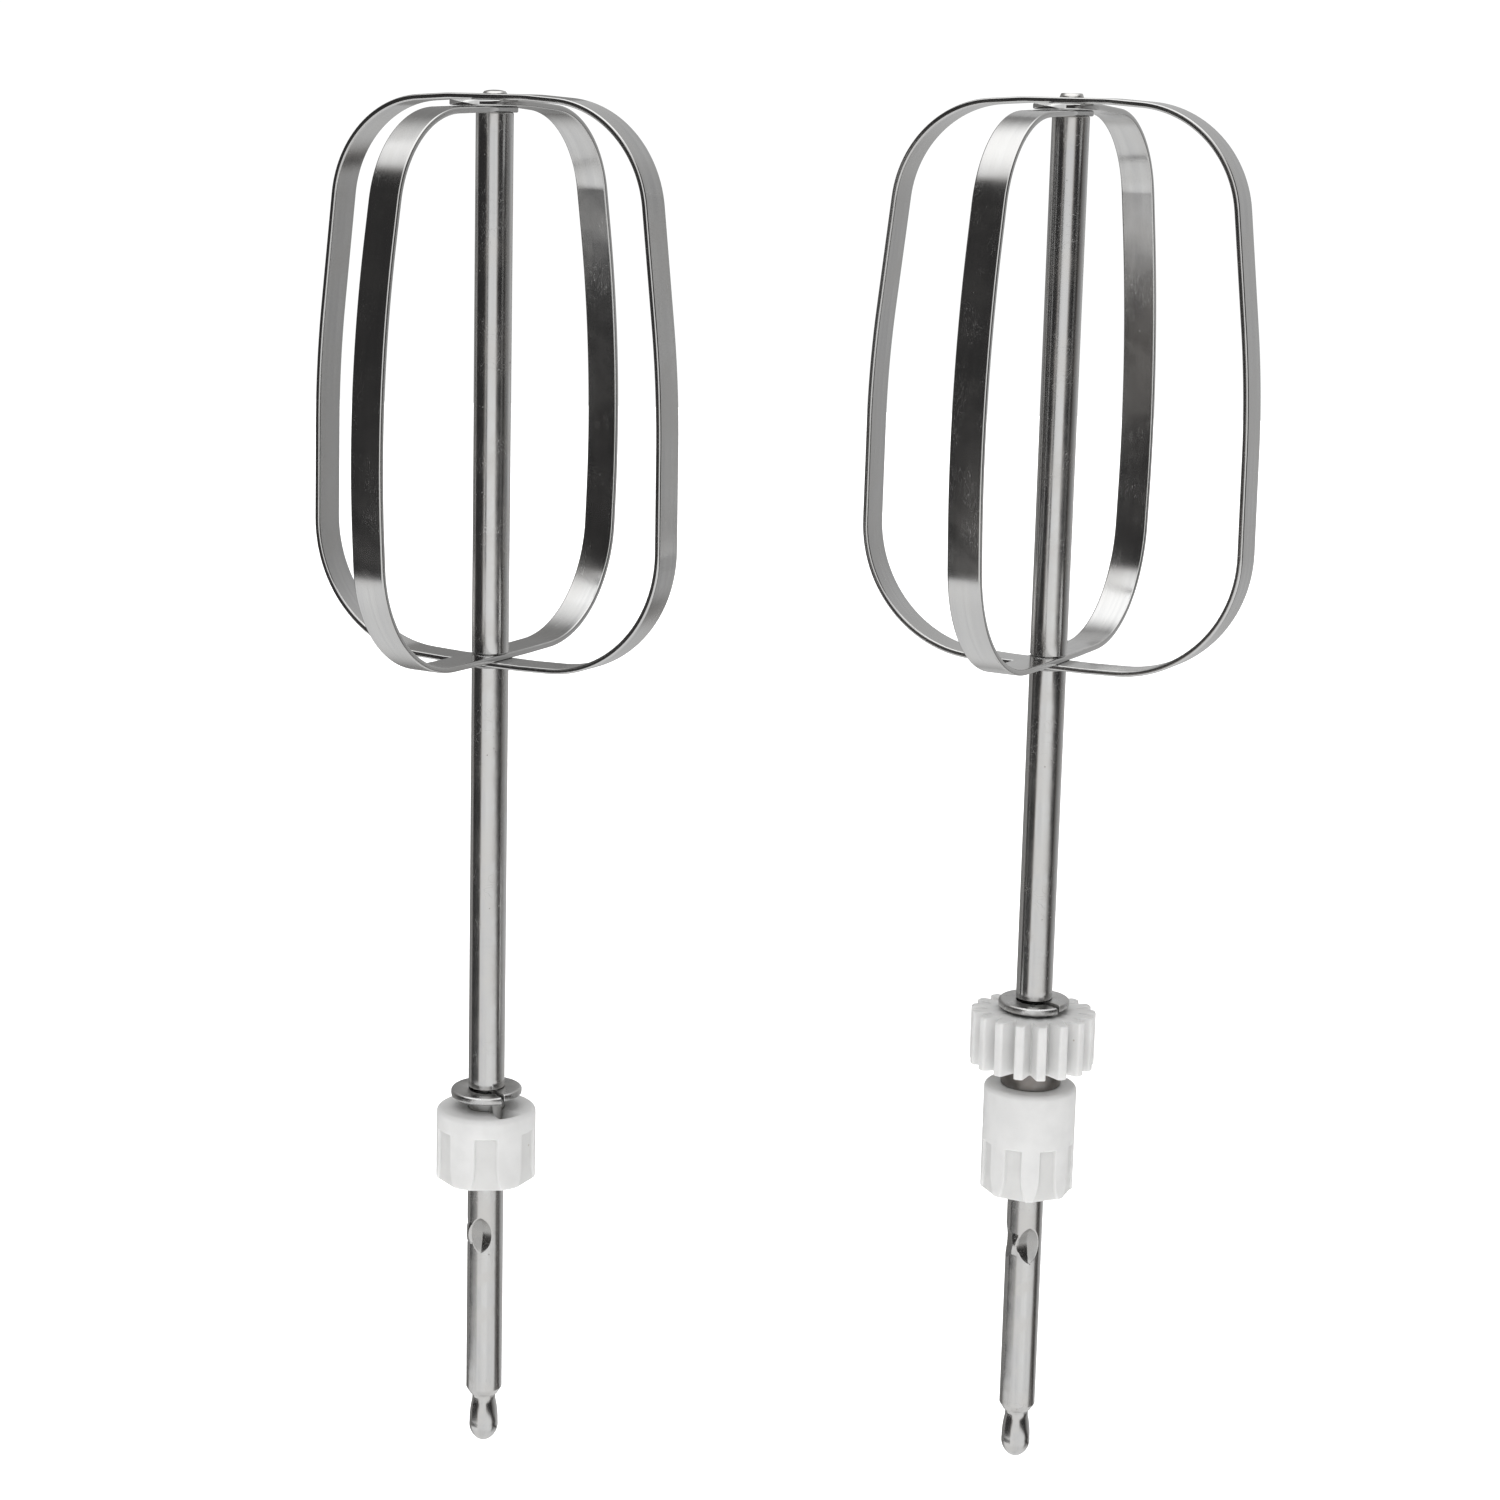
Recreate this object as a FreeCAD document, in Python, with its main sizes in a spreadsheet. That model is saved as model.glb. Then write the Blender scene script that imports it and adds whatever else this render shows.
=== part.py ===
import FreeCAD, Part
import math
import os
import Sketcher
from FreeCAD import Placement, Rotation, Vector

# A pair of strip beaters for a hand mixer, in millimetres, +Z up, cages up and drive tips down.
# Each beater is drawn about its own axis, with height 0 at the shoulder that carries the cage.
# The whole part has its origin on the left shaft's axis, where the chamfer of its drive end stops.

sizes = {
    # steel shaft, alike in both beaters
    "shaft_radius": 2.5,
    "shaft_chamfer": 0.9,
    "chamfer_inset": 0.55,
    "neck_radius": 1.65,
    "neck_length": 1.1,
    "bulb_radius": 2.0,
    "bulb_drop": 4.4,
    "bulb_upper_round": 14.0,
    "bulb_lower_round": 2.6,
    "tip_radius": 0.55,
    "tip_drop": 7.1,
    "tenon_radius": 1.3,
    "head_radius": 1.6,
    "head_flat_radius": 1.1,
    "groove_radius": 2.3,
    "groove_play": 0.1,
    # swaged drive ear and the scoops beside it
    "ear_width": 1.1,
    "ear_length": 4.6,
    "ear_proud": 0.3,
    "ear_root": 0.5,
    "scoop_count": 2,
    "scoop_depth": 1.0,
    "scoop_length": 5.2,
    "scoop_half_width": 3.0,
    "scoop_spread": 94.0,
    # swaging swells the bar by 0.03 over this length each way from the ear's middle
    "swage_reach": 2.6,
    "swage_round": 112.7,
    # strip cage
    "strip_width": 4.7,
    "strip_thick": 0.8,
    "strip_round": 0.25,
    "lap_gap": 0.02,
    "hole_play": 0.05,
    "cage_height": 76.0,
    "crown_reach": 6.0,
    "crown_round": 24.0,
    "shoulder_reach": 23.1,
    "shoulder_level": 74.5,
    "shoulder_round": 14.8,
    "side_reach": 27.2,
    "inner_side_reach": 28.8,
    "side_level": 39.2,
    "side_round": 150.0,
    "corner_reach": 27.5,
    "corner_level": 1.1,
    "corner_round": 17.2,
    "foot_reach": 6.0,
    "foot_round": 12.0,
    "inner_inset": 1.0,
    "long_tail": 7.0,
    "short_tail": 2.0,
    # retaining rings
    "ring_radius": 4.95,
    "ring_bore": 2.4,
    "ring_thick": 1.4,
    "ring_round": 0.3,
    "ring_split": 0.35,
    "split_lean": 0.9,
    "split_start": 1.0,
    # moulded collars
    "bore_play": 0.01,
    "flute_depth": 0.55,
    "flute_splay": 0.45,
    "rim_round": 0.9,
    "keyway_width": 2.4,
    "keyway_floor": 1.3,
    "keyway_depth": 2.6,
    "keyway_reach": 4.6,
    # bowl gear and its spacer
    "gear_height": 7.6,
    "gear_tip_radius": 8.63,
    "gear_root_radius": 6.05,
    "tooth_count": 17,
    "tooth_foot": 2.3,
    "tooth_crest": 1.35,
    "tooth_round": 0.4,
    "tooth_sunk": 0.6,
    "spacer_radius": 4.2,
    "spacer_thick": 3.0,
    "spacer_round": 0.25,
    # where the two beaters differ
    "left_head_height": 0.5,
    "left_below": 104.75,
    "left_ring_drop": 61.0,
    "left_collar_drop": 62.5,
    "left_collar_height": 10.1,
    "left_collar_radius": 6.87,
    "left_flute_count": 6,
    "left_flute_width": 3.0,
    "left_flute_height": 7.4,
    "left_flute_turn": -86.0,
    "left_ear_drop": 80.65,
    "left_ear_turn": -148.0,
    "left_key_drop": 63.2,
    "left_key_length": 3.9,
    "left_key_turn": -51.0,
    "left_split_turn": -40.0,
    "left_cage_turn": -30.0,
    "right_head_height": 0.55,
    "right_below": 107.05,
    "right_ring_drop": 48.0,
    "right_gear_drop": 48.35,
    "right_gear_turn": -87.0,
    "right_collar_height": 15.2,
    "right_collar_radius": 6.42,
    "right_flute_count": 8,
    "right_flute_width": 2.2,
    "right_flute_height": 7.2,
    "right_flute_turn": -69.5,
    "right_ear_drop": 81.95,
    "right_ear_turn": -125.0,
    "right_split_turn": -60.0,
    "right_cage_turn": -30.2,
    # how far a cut runs on past what it cuts
    "overrun": 1.0,
    # how the two stand to each other
    "axis_spacing": 75.6,
    "right_lift": 1.3,
}

doc = FreeCAD.newDocument("BeaterPair")
sheet = doc.addObject("Spreadsheet::Sheet", "Sizes")
for row, (alias, number) in enumerate(sizes.items(), start=1):
    sheet.set(f"A{row}", alias)
    sheet.set(f"B{row}", str(number))
    sheet.setAlias(f"B{row}", alias)
doc.recompute()


def amount(text):
    """Number of millimetres in a sum such as "cage_height - strip_thick"."""
    total = 0.0
    sign = 1.0
    for word in text.split():
        if word in "+-":
            sign = 1.0 if word == "+" else -1.0
        else:
            total += sign * (float(word) if word[0].isdigit() else float(sheet.get(word)))
    return total


def formula(text):
    """The same sum as an expression on the sheet's cells."""
    return " ".join("Sizes." + word if word[0].isalpha() else word for word in text.split())


def negative(text):
    """The sum with every sign turned, for the other side of an axis."""
    words = text.split()
    if words[0] not in "+-":
        words.insert(0, "+")
    turned = ["-" if w == "+" else "+" if w == "-" else w for w in words]
    if turned[0] == "+":
        turned.pop(0)
    return " ".join(turned)


def bind(thing, path, text):
    thing.setExpression(path, formula(text))


def new_body(label):
    body = doc.addObject("PartDesign::Body", "Body_" + label)
    body.Label = label
    return body


def new_sketch(body, name, role, shift=Placement()):
    """Sketch on one of the body's own origin planes, moved by shift in that plane's frame."""
    sketch = body.newObject("Sketcher::SketchObject", name)
    plane = [f for f in body.Origin.OriginFeatures if f.Role == role][0]
    sketch.AttachmentSupport = [(plane, "")]
    sketch.MapMode = "FlatFace"
    sketch.AttachmentOffset = shift
    return sketch


class Draft:
    """Geometry and constraints of one sketch, put in together so that it is solved once."""

    def __init__(self, sketch):
        self.sketch = sketch
        self.pieces = []
        self.rules = []
        self.sums = {}

    def draw(self, piece):
        self.pieces.append(piece)
        return len(self.pieces) - 1

    def rule(self, *words):
        self.rules.append(Sketcher.Constraint(*words))

    def sized(self, text, *words):
        self.sums[len(self.rules)] = text
        self.rules.append(Sketcher.Constraint(*words, amount(text)))

    def pin(self, piece, end, across, up):
        """Hold a point at two sums of named sizes from the sketch's origin."""
        for kind, text, axis in (("DistanceX", across, -2), ("DistanceY", up, -1)):
            if text == "0":
                self.rule("PointOnObject", piece, end, axis)
            else:
                self.sized(text, kind, -1, 1, piece, end)

    def close(self, ends):
        """Join the end of each piece to the start of the next, all the way round."""
        count = len(ends)
        for i in range(count):
            after = (i + 1) % count
            self.rule("Coincident", i, ends[i][1], after, ends[after][0])

    def fixed_outline(self, points):
        """Closed outline of straight sides, held where it is drawn."""
        count = len(points)
        for i, point in enumerate(points):
            self.rule("Block", self.draw(Part.LineSegment(point, points[(i + 1) % count])))
        self.close([(1, 2)] * count)

    def finish(self, helpers=()):
        self.sketch.addGeometry(self.pieces, False)
        if helpers:
            self.sketch.addGeometry(list(helpers), True)
        self.sketch.addConstraint(self.rules)
        for index, text in self.sums.items():
            bind(self.sketch, f"Constraints[{index}]", text)
        if self.sketch.solve() != 0:
            raise RuntimeError(f"{self.sketch.Label} doesn't solve")


def circles(sketch, *radii):
    """Circles about the sketch's origin."""
    draft = Draft(sketch)
    for radius in radii:
        index = draft.draw(Part.Circle(Vector(0, 0, 0), Vector(0, 0, 1), amount(radius)))
        draft.rule("Coincident", index, 3, -1, 1)
        draft.sized(radius, "Radius", index)
    draft.finish()


def arc_about(centre, first, last):
    """Arc that runs anticlockwise about centre from first to last."""
    one = first - centre
    two = last - centre
    circle = Part.Circle(centre, Vector(0, 0, 1), one.Length)
    return Part.ArcOfCircle(circle, math.atan2(one.y, one.x), math.atan2(two.y, two.x))


def bulge(first, last, radius):
    """Anticlockwise arc of that radius, shorter than a half turn."""
    half = (last - first).Length / 2
    along = (last - first).normalize()
    inward = Vector(-along.y, along.x, 0)
    centre = (first + last) / 2 + inward * math.sqrt(radius ** 2 - half ** 2)
    return arc_about(centre, first, last)


def add_outline(sketch, corners, arcs=()):
    """Closed outline, anticlockwise; arcs maps a side's number to the radius it bows out by."""
    arcs = dict(arcs)
    draft = Draft(sketch)
    points = [Vector(amount(x), amount(y), 0) for x, y in corners]
    for i, point in enumerate(points):
        following = points[(i + 1) % len(points)]
        if i in arcs:
            draft.draw(bulge(point, following, amount(arcs[i])))
        else:
            draft.draw(Part.LineSegment(point, following))
    draft.close([(1, 2)] * len(points))
    for i, (across, up) in enumerate(corners):
        draft.pin(i, 1, across, up)
    for i, radius in arcs.items():
        draft.sized(radius, "Radius", i)
    draft.finish()


def add_route(sketch, start, corners, finish):
    """Straight runs from start to finish, clockwise, each corner rounded by a tangent arc."""
    marks = [start] + [corner[:2] for corner in corners] + [finish]
    spots = [Vector(amount(x), amount(y), 0) for x, y in marks]
    draft = Draft(sketch)
    here = spots[0]
    for i, corner in enumerate(corners, start=1):
        back = (spots[i - 1] - spots[i]).normalize()
        ahead = (spots[i + 1] - spots[i]).normalize()
        half = back.getAngle(ahead) / 2
        radius = amount(corner[2])
        reach = radius / math.tan(half)
        centre = spots[i] + (back + ahead).normalize() * (radius / math.sin(half))
        draft.draw(Part.LineSegment(here, spots[i] + back * reach))
        here = spots[i] + ahead * reach
        draft.draw(arc_about(centre, here, spots[i] + back * reach))
    last = draft.draw(Part.LineSegment(here, spots[-1]))
    helpers = [Part.Point(spot) for spot in spots[1:-1]]
    for i, (across, up, radius) in enumerate(corners):
        run = 2 * i
        mark = last + 1 + i
        draft.rule("Tangent", run, 2, run + 1, 2)
        draft.rule("Tangent", run + 1, 1, run + 2, 1)
        draft.pin(mark, 1, across, up)
        draft.rule("PointOnObject", mark, 1, run)
        draft.rule("PointOnObject", mark, 1, run + 2)
        draft.sized(radius, "Radius", run + 1)
    draft.pin(0, 1, *start)
    draft.pin(last, 2, *finish)
    draft.finish(helpers)


def feature(body, kind, name, sketch):
    made = body.newObject("PartDesign::" + kind, name)
    made.Profile = sketch
    sketch.Visibility = False
    return made


def revolve(body, name, sketch, axis="V_Axis", kind="Revolution"):
    made = feature(body, kind, name, sketch)
    made.ReferenceAxis = (sketch, [axis])
    made.Angle = 360
    return made


def pad(body, name, sketch, length, upward=True, middle=False):
    made = feature(body, "Pad", name, sketch)
    bind(made, "Length", length)
    made.SideType = "Symmetric" if middle else "One side"
    made.Reversed = not upward
    return made


def pocket(body, name, sketch, length, upward=True):
    made = feature(body, "Pocket", name, sketch)
    if length:
        bind(made, "Length", length)
    else:
        made.Type = "ThroughAll"
    made.Reversed = upward
    doc.recompute()
    return made


def polar(body, name, source, count, angle):
    """Repeat a feature about the body's upright axis."""
    ring = body.newObject("PartDesign::PolarPattern", name)
    ring.Originals = [source]
    upright = [f for f in body.Origin.OriginFeatures if f.Role == "Z_Axis"][0]
    ring.Axis = (upright, [""])
    bind(ring, "Occurrences", count)
    if angle == "360":
        ring.Angle = 360
    else:
        bind(ring, "Angle", angle)
    body.Tip = ring
    doc.recompute()
    return ring


def mirror_half(body, source):
    """Add the other half of a feature, across the body's YZ plane."""
    made = body.newObject("PartDesign::Mirrored", "other_half")
    made.Originals = [source]
    plane = [f for f in body.Origin.OriginFeatures if f.Role == "YZ_Plane"][0]
    made.MirrorPlane = (plane, [""])
    body.Tip = made
    doc.recompute()
    return made


def round_edges(body, name, radius, wanted):
    """Fillet the edges of the body's tip for which wanted(edge) is true."""
    doc.recompute()
    base = body.Tip
    names = [f"Edge{i}" for i, edge in enumerate(base.Shape.Edges, start=1) if wanted(edge)]
    made = body.newObject("PartDesign::Fillet", name)
    made.Base = (base, names)
    bind(made, "Radius", radius)
    doc.recompute()
    return made


def circle_at(level, radius):
    """Test for a full circular edge of that radius at that height."""
    def wanted(edge):
        box = edge.BoundBox
        flat = abs(box.ZMin - level) < 1e-4 and abs(box.ZMax - level) < 1e-4
        return flat and abs(box.XLength / 2 - radius) < 1e-3
    return wanted


def turned(degrees, level="0"):
    """Placement that turns a sketch about the upright axis and lifts it to a level."""
    return Placement(Vector(0, 0, amount(level)), Rotation(Vector(0, 0, 1), degrees))


def upright_turned(degrees):
    """Placement on the XZ plane that turns a sketch about the upright axis."""
    return Placement(Vector(0, 0, 0), Rotation(Vector(0, 1, 0), degrees))


def drive_ear(body, name, drop, length, turn):
    """Low ridge with an arched crest, swaged out of the shaft along its length."""
    sketch = new_sketch(body, name + "_sketch", "XZ_Plane", upright_turned(amount(turn)))
    half = amount(length) / 2
    rise = amount("ear_proud + ear_root")
    crest = (half ** 2 + rise ** 2) / (2 * rise)
    foot = amount("shaft_radius - ear_root")
    level = -amount(drop)
    low = Vector(foot, level - half, 0)
    high = Vector(foot, level + half, 0)
    draft = Draft(sketch)
    draft.draw(Part.LineSegment(high, low))
    draft.draw(bulge(low, high, crest))
    draft.close([(1, 2), (1, 2)])
    draft.rule("Vertical", 0)
    draft.rule("Radius", 1, crest)
    draft.sized(length, "DistanceY", 0, 2, 0, 1)
    draft.sized("shaft_radius - ear_root", "DistanceX", -1, 1, 0, 2)
    draft.rule("DistanceY", -1, 1, 0, 2, level - half)
    draft.finish()
    return pad(body, name, sketch, "ear_width", middle=True)


def scoop_pair(body, drop, turn):
    """Two scoops beside the ear, as a wheel with a V edge would cut them."""
    first = amount(turn) - amount("scoop_spread") / 2
    level = Placement(Vector(0, 0, -amount(drop)), Rotation(Vector(0, 0, 1), first))
    sketch = new_sketch(body, "scoop_sketch", "XY_Plane", level)
    depth = amount("scoop_depth")
    wheel = ((amount("scoop_length") / 2) ** 2 + depth ** 2) / (2 * depth)
    root = amount("shaft_radius - scoop_depth")
    slope = amount("scoop_half_width") / depth
    outer = root + amount("shaft_radius")
    wide = slope * (outer - root)
    axle = root + wheel
    draft = Draft(sketch)
    draft.fixed_outline([Vector(root, 0, 0), Vector(outer, -wide, 0), Vector(outer, wide, 0)])
    draft.rule("Block", 3)
    draft.finish([Part.LineSegment(Vector(axle, -1, 0), Vector(axle, 1, 0))])
    doc.recompute()
    before = body.Tip.Shape.Volume
    cut = revolve(body, "scoop", sketch, "Axis0", "Groove")
    doc.recompute()
    if cut.Shape.Volume > before - 0.1:
        raise RuntimeError("the scoop cuts nothing")
    return polar(body, "scoops", cut, "scoop_count", "scoop_spread")


def drive_shaft(side):
    """Shaft with snap-in tip, drive ear, ring groove, cage shoulder, tenon and peened head."""
    body = new_body(side + "_drive_shaft")
    sketch = new_sketch(body, "shaft_sketch", "XZ_Plane")
    below = side + "_below"
    ring = side + "_ring_drop"
    end = negative(below)
    groove_low = negative(ring) + " - groove_play"
    groove_high = negative(ring) + " + ring_thick + groove_play"
    swage = negative(side + "_ear_drop")
    head_top = f"cage_height + {side}_head_height"
    corners = [
        ("0", end + " - tip_drop"),
        ("tip_radius", end + " - tip_drop"),
        ("bulb_radius", end + " - bulb_drop"),
        ("neck_radius", end + " - neck_length"),
        ("neck_radius", end),
        ("shaft_radius - chamfer_inset", end),
        ("shaft_radius", end + " + shaft_chamfer"),
        ("shaft_radius", swage + " - swage_reach"),
        ("shaft_radius", swage + " + swage_reach"),
        ("shaft_radius", groove_low),
        ("groove_radius", groove_low),
        ("groove_radius", groove_high),
        ("shaft_radius", groove_high),
        ("shaft_radius", "0"),
        ("tenon_radius", "0"),
        ("tenon_radius", "cage_height"),
        ("head_radius", "cage_height"),
        ("head_flat_radius", head_top),
        ("0", head_top),
    ]
    bulb_low, bulb_high, swell, head = 1, 2, 7, 16
    arcs = {
        bulb_low: "bulb_lower_round",
        bulb_high: "bulb_upper_round",
        swell: "swage_round",
        head: "head_radius",
    }
    add_outline(sketch, corners, arcs)
    revolve(body, "shaft", sketch)
    drive_ear(body, "ear", side + "_ear_drop", "ear_length", side + "_ear_turn")
    if side == "left":
        drive_ear(body, "key", "left_key_drop", "left_key_length", "left_key_turn")
    scoop_pair(body, side + "_ear_drop", side + "_ear_turn")
    return body


def centre_tube(side):
    """Spacer tube on the tenon between the lower and the upper crossing of the strips."""
    body = new_body(side + "_centre_tube")
    foot = "strip_thick + strip_thick"
    top = "cage_height - strip_thick - strip_thick - strip_thick - lap_gap"
    sketch = new_sketch(body, "tube_sketch", "XZ_Plane")
    bore = "tenon_radius + hole_play"
    add_outline(sketch, [(bore, foot), ("shaft_radius", foot), ("shaft_radius", top), (bore, top)])
    revolve(body, "tube", sketch)
    return body


def strip_section(body, across, up):
    """Rounded section of the strip, standing across the start of its route."""
    shift = Placement(Vector(0, 0, amount(across)), Rotation())
    sketch = new_sketch(body, "section_sketch", "YZ_Plane", shift)
    half = amount("strip_width") / 2
    thick = amount("strip_thick") / 2
    edge = amount("strip_round")
    level = amount(up)
    lines = [
        (Vector(-half + edge, level - thick, 0), Vector(half - edge, level - thick, 0)),
        (Vector(half, level - thick + edge, 0), Vector(half, level + thick - edge, 0)),
        (Vector(half - edge, level + thick, 0), Vector(-half + edge, level + thick, 0)),
        (Vector(-half, level + thick - edge, 0), Vector(-half, level - thick + edge, 0)),
    ]
    draft = Draft(sketch)
    for i, (start, end) in enumerate(lines):
        draft.draw(Part.LineSegment(start, end))
        draft.draw(bulge(end, lines[(i + 1) % 4][0], edge))
    for i in range(4):
        line = 2 * i
        draft.rule("Tangent", line, 2, line + 1, 1)
        draft.rule("Tangent", line + 1, 2, (line + 2) % 8, 1)
        draft.sized("strip_round", "Radius", line + 1)
    draft.rule("Horizontal", 0)
    draft.rule("Vertical", 2)
    draft.sized("strip_width", "DistanceX", 6, 1, 2, 1)
    draft.sized("strip_thick", "DistanceY", 0, 1, 4, 1)
    draft.rule("Symmetric", 6, 1, 2, 2, -2)
    draft.sized(up + " - " + f"{thick:g}", "DistanceY", -1, 1, 0, 1)
    draft.finish()
    return sketch


def strip_loop(side, which):
    """Strip bent into a loop: the outer one closed, the inner one with its ends lapped on top."""
    body = new_body(f"{side}_{which}_loop")
    outer = which == "outer"
    inset = "" if outer else " - inner_inset"
    half = amount("strip_thick") / 2
    middle = f"{half:g}"
    foot = middle if outer else "strip_thick + " + middle
    upper = "cage_height - " + middle
    lower = upper
    if not outer:
        upper = f"cage_height - strip_thick - {middle}"
        lower = f"{upper} - strip_thick - lap_gap"
    right = [
        ("crown_reach" + inset, upper, "crown_round"),
        ("shoulder_reach" + inset, "shoulder_level" + inset, "shoulder_round" + inset),
        ("side_reach" if outer else "inner_side_reach", "side_level", "side_round" + inset),
        ("corner_reach" + inset, "corner_level" + ("" if outer else " + " + middle),
         "corner_round" + inset),
        ("foot_reach", foot, "foot_round"),
    ]
    route = new_sketch(body, "route_sketch", "XZ_Plane")
    if outer:
        start = ("0", upper)
        add_route(route, start, right, ("0", foot))
    else:
        left = [(negative(x), y, r) for x, y, r in reversed(right)]
        left[-1] = (left[-1][0], lower, left[-1][2])
        start = ("- long_tail", upper)
        add_route(route, start, right + left, ("short_tail", lower))
    section = strip_section(body, start[0], upper)
    pipe = feature(body, "AdditivePipe", "strip", section)
    pipe.Spine = (route, [])
    route.Visibility = False
    doc.recompute()
    due = Part.Face(section.Shape).Area * route.Shape.Length
    if abs(pipe.Shape.Volume / due - 1) > 0.002:
        raise RuntimeError(f"{body.Label} is not its section all the way round")
    if outer:
        mirror_half(body, pipe)
    hole = new_sketch(body, "hole_sketch", "XY_Plane")
    circles(hole, "tenon_radius + hole_play")
    pocket(body, "tenon_holes", hole, None)
    return body


def retaining_ring(side):
    """Split steel ring that sits in the shaft's groove and can turn in it."""
    body = new_body(side + "_retaining_ring")
    foot = negative(side + "_ring_drop")
    top = foot + " + ring_thick"
    sketch = new_sketch(body, "ring_sketch", "XZ_Plane")
    add_outline(sketch, [("ring_bore", foot), ("ring_radius", foot),
                         ("ring_radius", top), ("ring_bore", top)])
    revolve(body, "ring", sketch)
    round_edges(body, "rounded", "ring_round", lambda edge: True)
    turn = amount(side + "_split_turn")
    slit = new_sketch(body, "split_sketch", "XY_Plane", turned(turn, foot + " - overrun"))
    half = amount("ring_split") / 2
    start = amount("split_start")
    reach = amount("ring_radius + overrun")
    lean = amount("split_lean")
    draft = Draft(slit)
    draft.fixed_outline([Vector(start, -half, 0), Vector(reach, -half + lean, 0),
                         Vector(reach, half + lean, 0), Vector(start, half, 0)])
    draft.finish()
    pocket(body, "split", slit, "ring_thick + overrun + overrun")
    return body


def drive_collar(side):
    """Moulded collar with shallow flutes that are open at its lower end."""
    body = new_body(side + "_drive_collar")
    if side == "left":
        top = "- left_collar_drop"
    else:
        top = "- right_gear_drop - gear_height - spacer_thick"
    height = side + "_collar_height"
    radius = side + "_collar_radius"
    low = f"{top} - {height}"
    ground = new_sketch(body, "collar_sketch", "XY_Plane", turned(0, low))
    circles(ground, "shaft_radius + bore_play", radius)
    pad(body, "collar", ground, height)
    turn = amount(side + "_flute_turn")
    flute = new_sketch(body, "flute_sketch", "XY_Plane", turned(turn, low))
    half = amount(side + "_flute_width") / 2
    floor = amount(radius) - amount("flute_depth")
    beyond = amount(radius + " + overrun")
    splay = amount("flute_splay")
    draft = Draft(flute)
    draft.fixed_outline([Vector(floor, -half, 0), Vector(beyond, -half - splay, 0),
                         Vector(beyond, half + splay, 0), Vector(floor, half, 0)])
    draft.finish()
    cut = pocket(body, "flute", flute, side + "_flute_height")
    polar(body, "flutes", cut, side + "_flute_count", "360")
    round_edges(body, "rim", "rim_round", circle_at(amount(top), amount(radius)))
    if side == "left":
        keyway(body, top)
    return body


def keyway(body, top):
    """V notch in the collar's upper face that the shaft's key sits in."""
    facing = upright_turned(amount("left_key_turn"))
    sketch = new_sketch(body, "keyway_sketch", "YZ_Plane", facing)
    floor = amount(top + " - keyway_depth")
    mouth = amount(top + " + overrun")
    half = amount("keyway_width") / 2
    flat = amount("keyway_floor") / 2
    draft = Draft(sketch)
    draft.fixed_outline([Vector(-flat, floor, 0), Vector(flat, floor, 0),
                         Vector(half, mouth, 0), Vector(-half, mouth, 0)])
    draft.finish()
    return pocket(body, "keyway", sketch, "keyway_reach")


def bowl_gear():
    """Spur gear with rounded teeth, pressed on the right shaft."""
    body = new_body("right_bowl_gear")
    low = "- right_gear_drop - gear_height"
    ground = new_sketch(body, "hub_sketch", "XY_Plane", turned(0, low))
    circles(ground, "shaft_radius + bore_play", "gear_root_radius")
    pad(body, "hub", ground, "gear_height")
    tooth = new_sketch(body, "tooth_sketch", "XY_Plane",
                       turned(amount("right_gear_turn"), low))
    inside = amount("gear_root_radius - tooth_sunk")
    tip = amount("gear_tip_radius")
    foot = amount("tooth_foot") / 2
    crest = amount("tooth_crest") / 2
    rounding = amount("tooth_round")
    near = Vector(tip - rounding, -crest, 0)
    far = Vector(tip - rounding, crest, 0)
    crest_low = Vector(tip, -crest + rounding, 0)
    crest_high = Vector(tip, crest - rounding, 0)
    draft = Draft(tooth)
    draft.draw(Part.LineSegment(Vector(inside, foot, 0), Vector(inside, -foot, 0)))
    draft.draw(Part.LineSegment(Vector(inside, -foot, 0), near))
    draft.draw(bulge(near, crest_low, rounding))
    draft.draw(Part.LineSegment(crest_low, crest_high))
    draft.draw(bulge(crest_high, far, rounding))
    draft.draw(Part.LineSegment(far, Vector(inside, foot, 0)))
    count = len(draft.pieces)
    for i in range(count):
        draft.rule("Block", i)
    draft.close([(1, 2)] * count)
    draft.finish()
    one = pad(body, "tooth", tooth, "gear_height")
    doc.recompute()
    polar(body, "teeth", one, "tooth_count", "360")
    return body


def spacer_washer():
    """Steel spacer between the bowl gear and the right collar."""
    body = new_body("right_spacer_washer")
    low = "- right_gear_drop - gear_height - spacer_thick"
    ground = new_sketch(body, "washer_sketch", "XY_Plane", turned(0, low))
    circles(ground, "shaft_radius + bore_play", "spacer_radius")
    pad(body, "washer", ground, "spacer_thick")
    rim = amount("spacer_radius")
    top = amount(low) + amount("spacer_thick")
    low_rim = circle_at(amount(low), rim)
    high_rim = circle_at(top, rim)
    round_edges(body, "rounded", "spacer_round",
                lambda edge: low_rim(edge) or high_rim(edge))
    return body


def stand(body, side, turn=0.0):
    """Put a body where its beater stands, turned about the beater's axis."""
    body.Placement = Placement(Vector(0, 0, 0), Rotation(Vector(0, 0, 1), turn))
    if side == "left":
        bind(body, "Placement.Base.z", "left_below - shaft_chamfer")
    else:
        bind(body, "Placement.Base.x", "axis_spacing")
        bind(body, "Placement.Base.z", "left_below - shaft_chamfer + right_lift")
    nodes.append(body)


nodes = []
for side in ("left", "right"):
    cage_turn = amount(side + "_cage_turn")
    stand(drive_shaft(side), side)
    stand(centre_tube(side), side)
    stand(strip_loop(side, "outer"), side, cage_turn)
    stand(strip_loop(side, "inner"), side, cage_turn + 90)
    stand(retaining_ring(side), side)
    stand(drive_collar(side), side)
stand(bowl_gear(), "right")
stand(spacer_washer(), "right")
doc.recompute()

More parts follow.
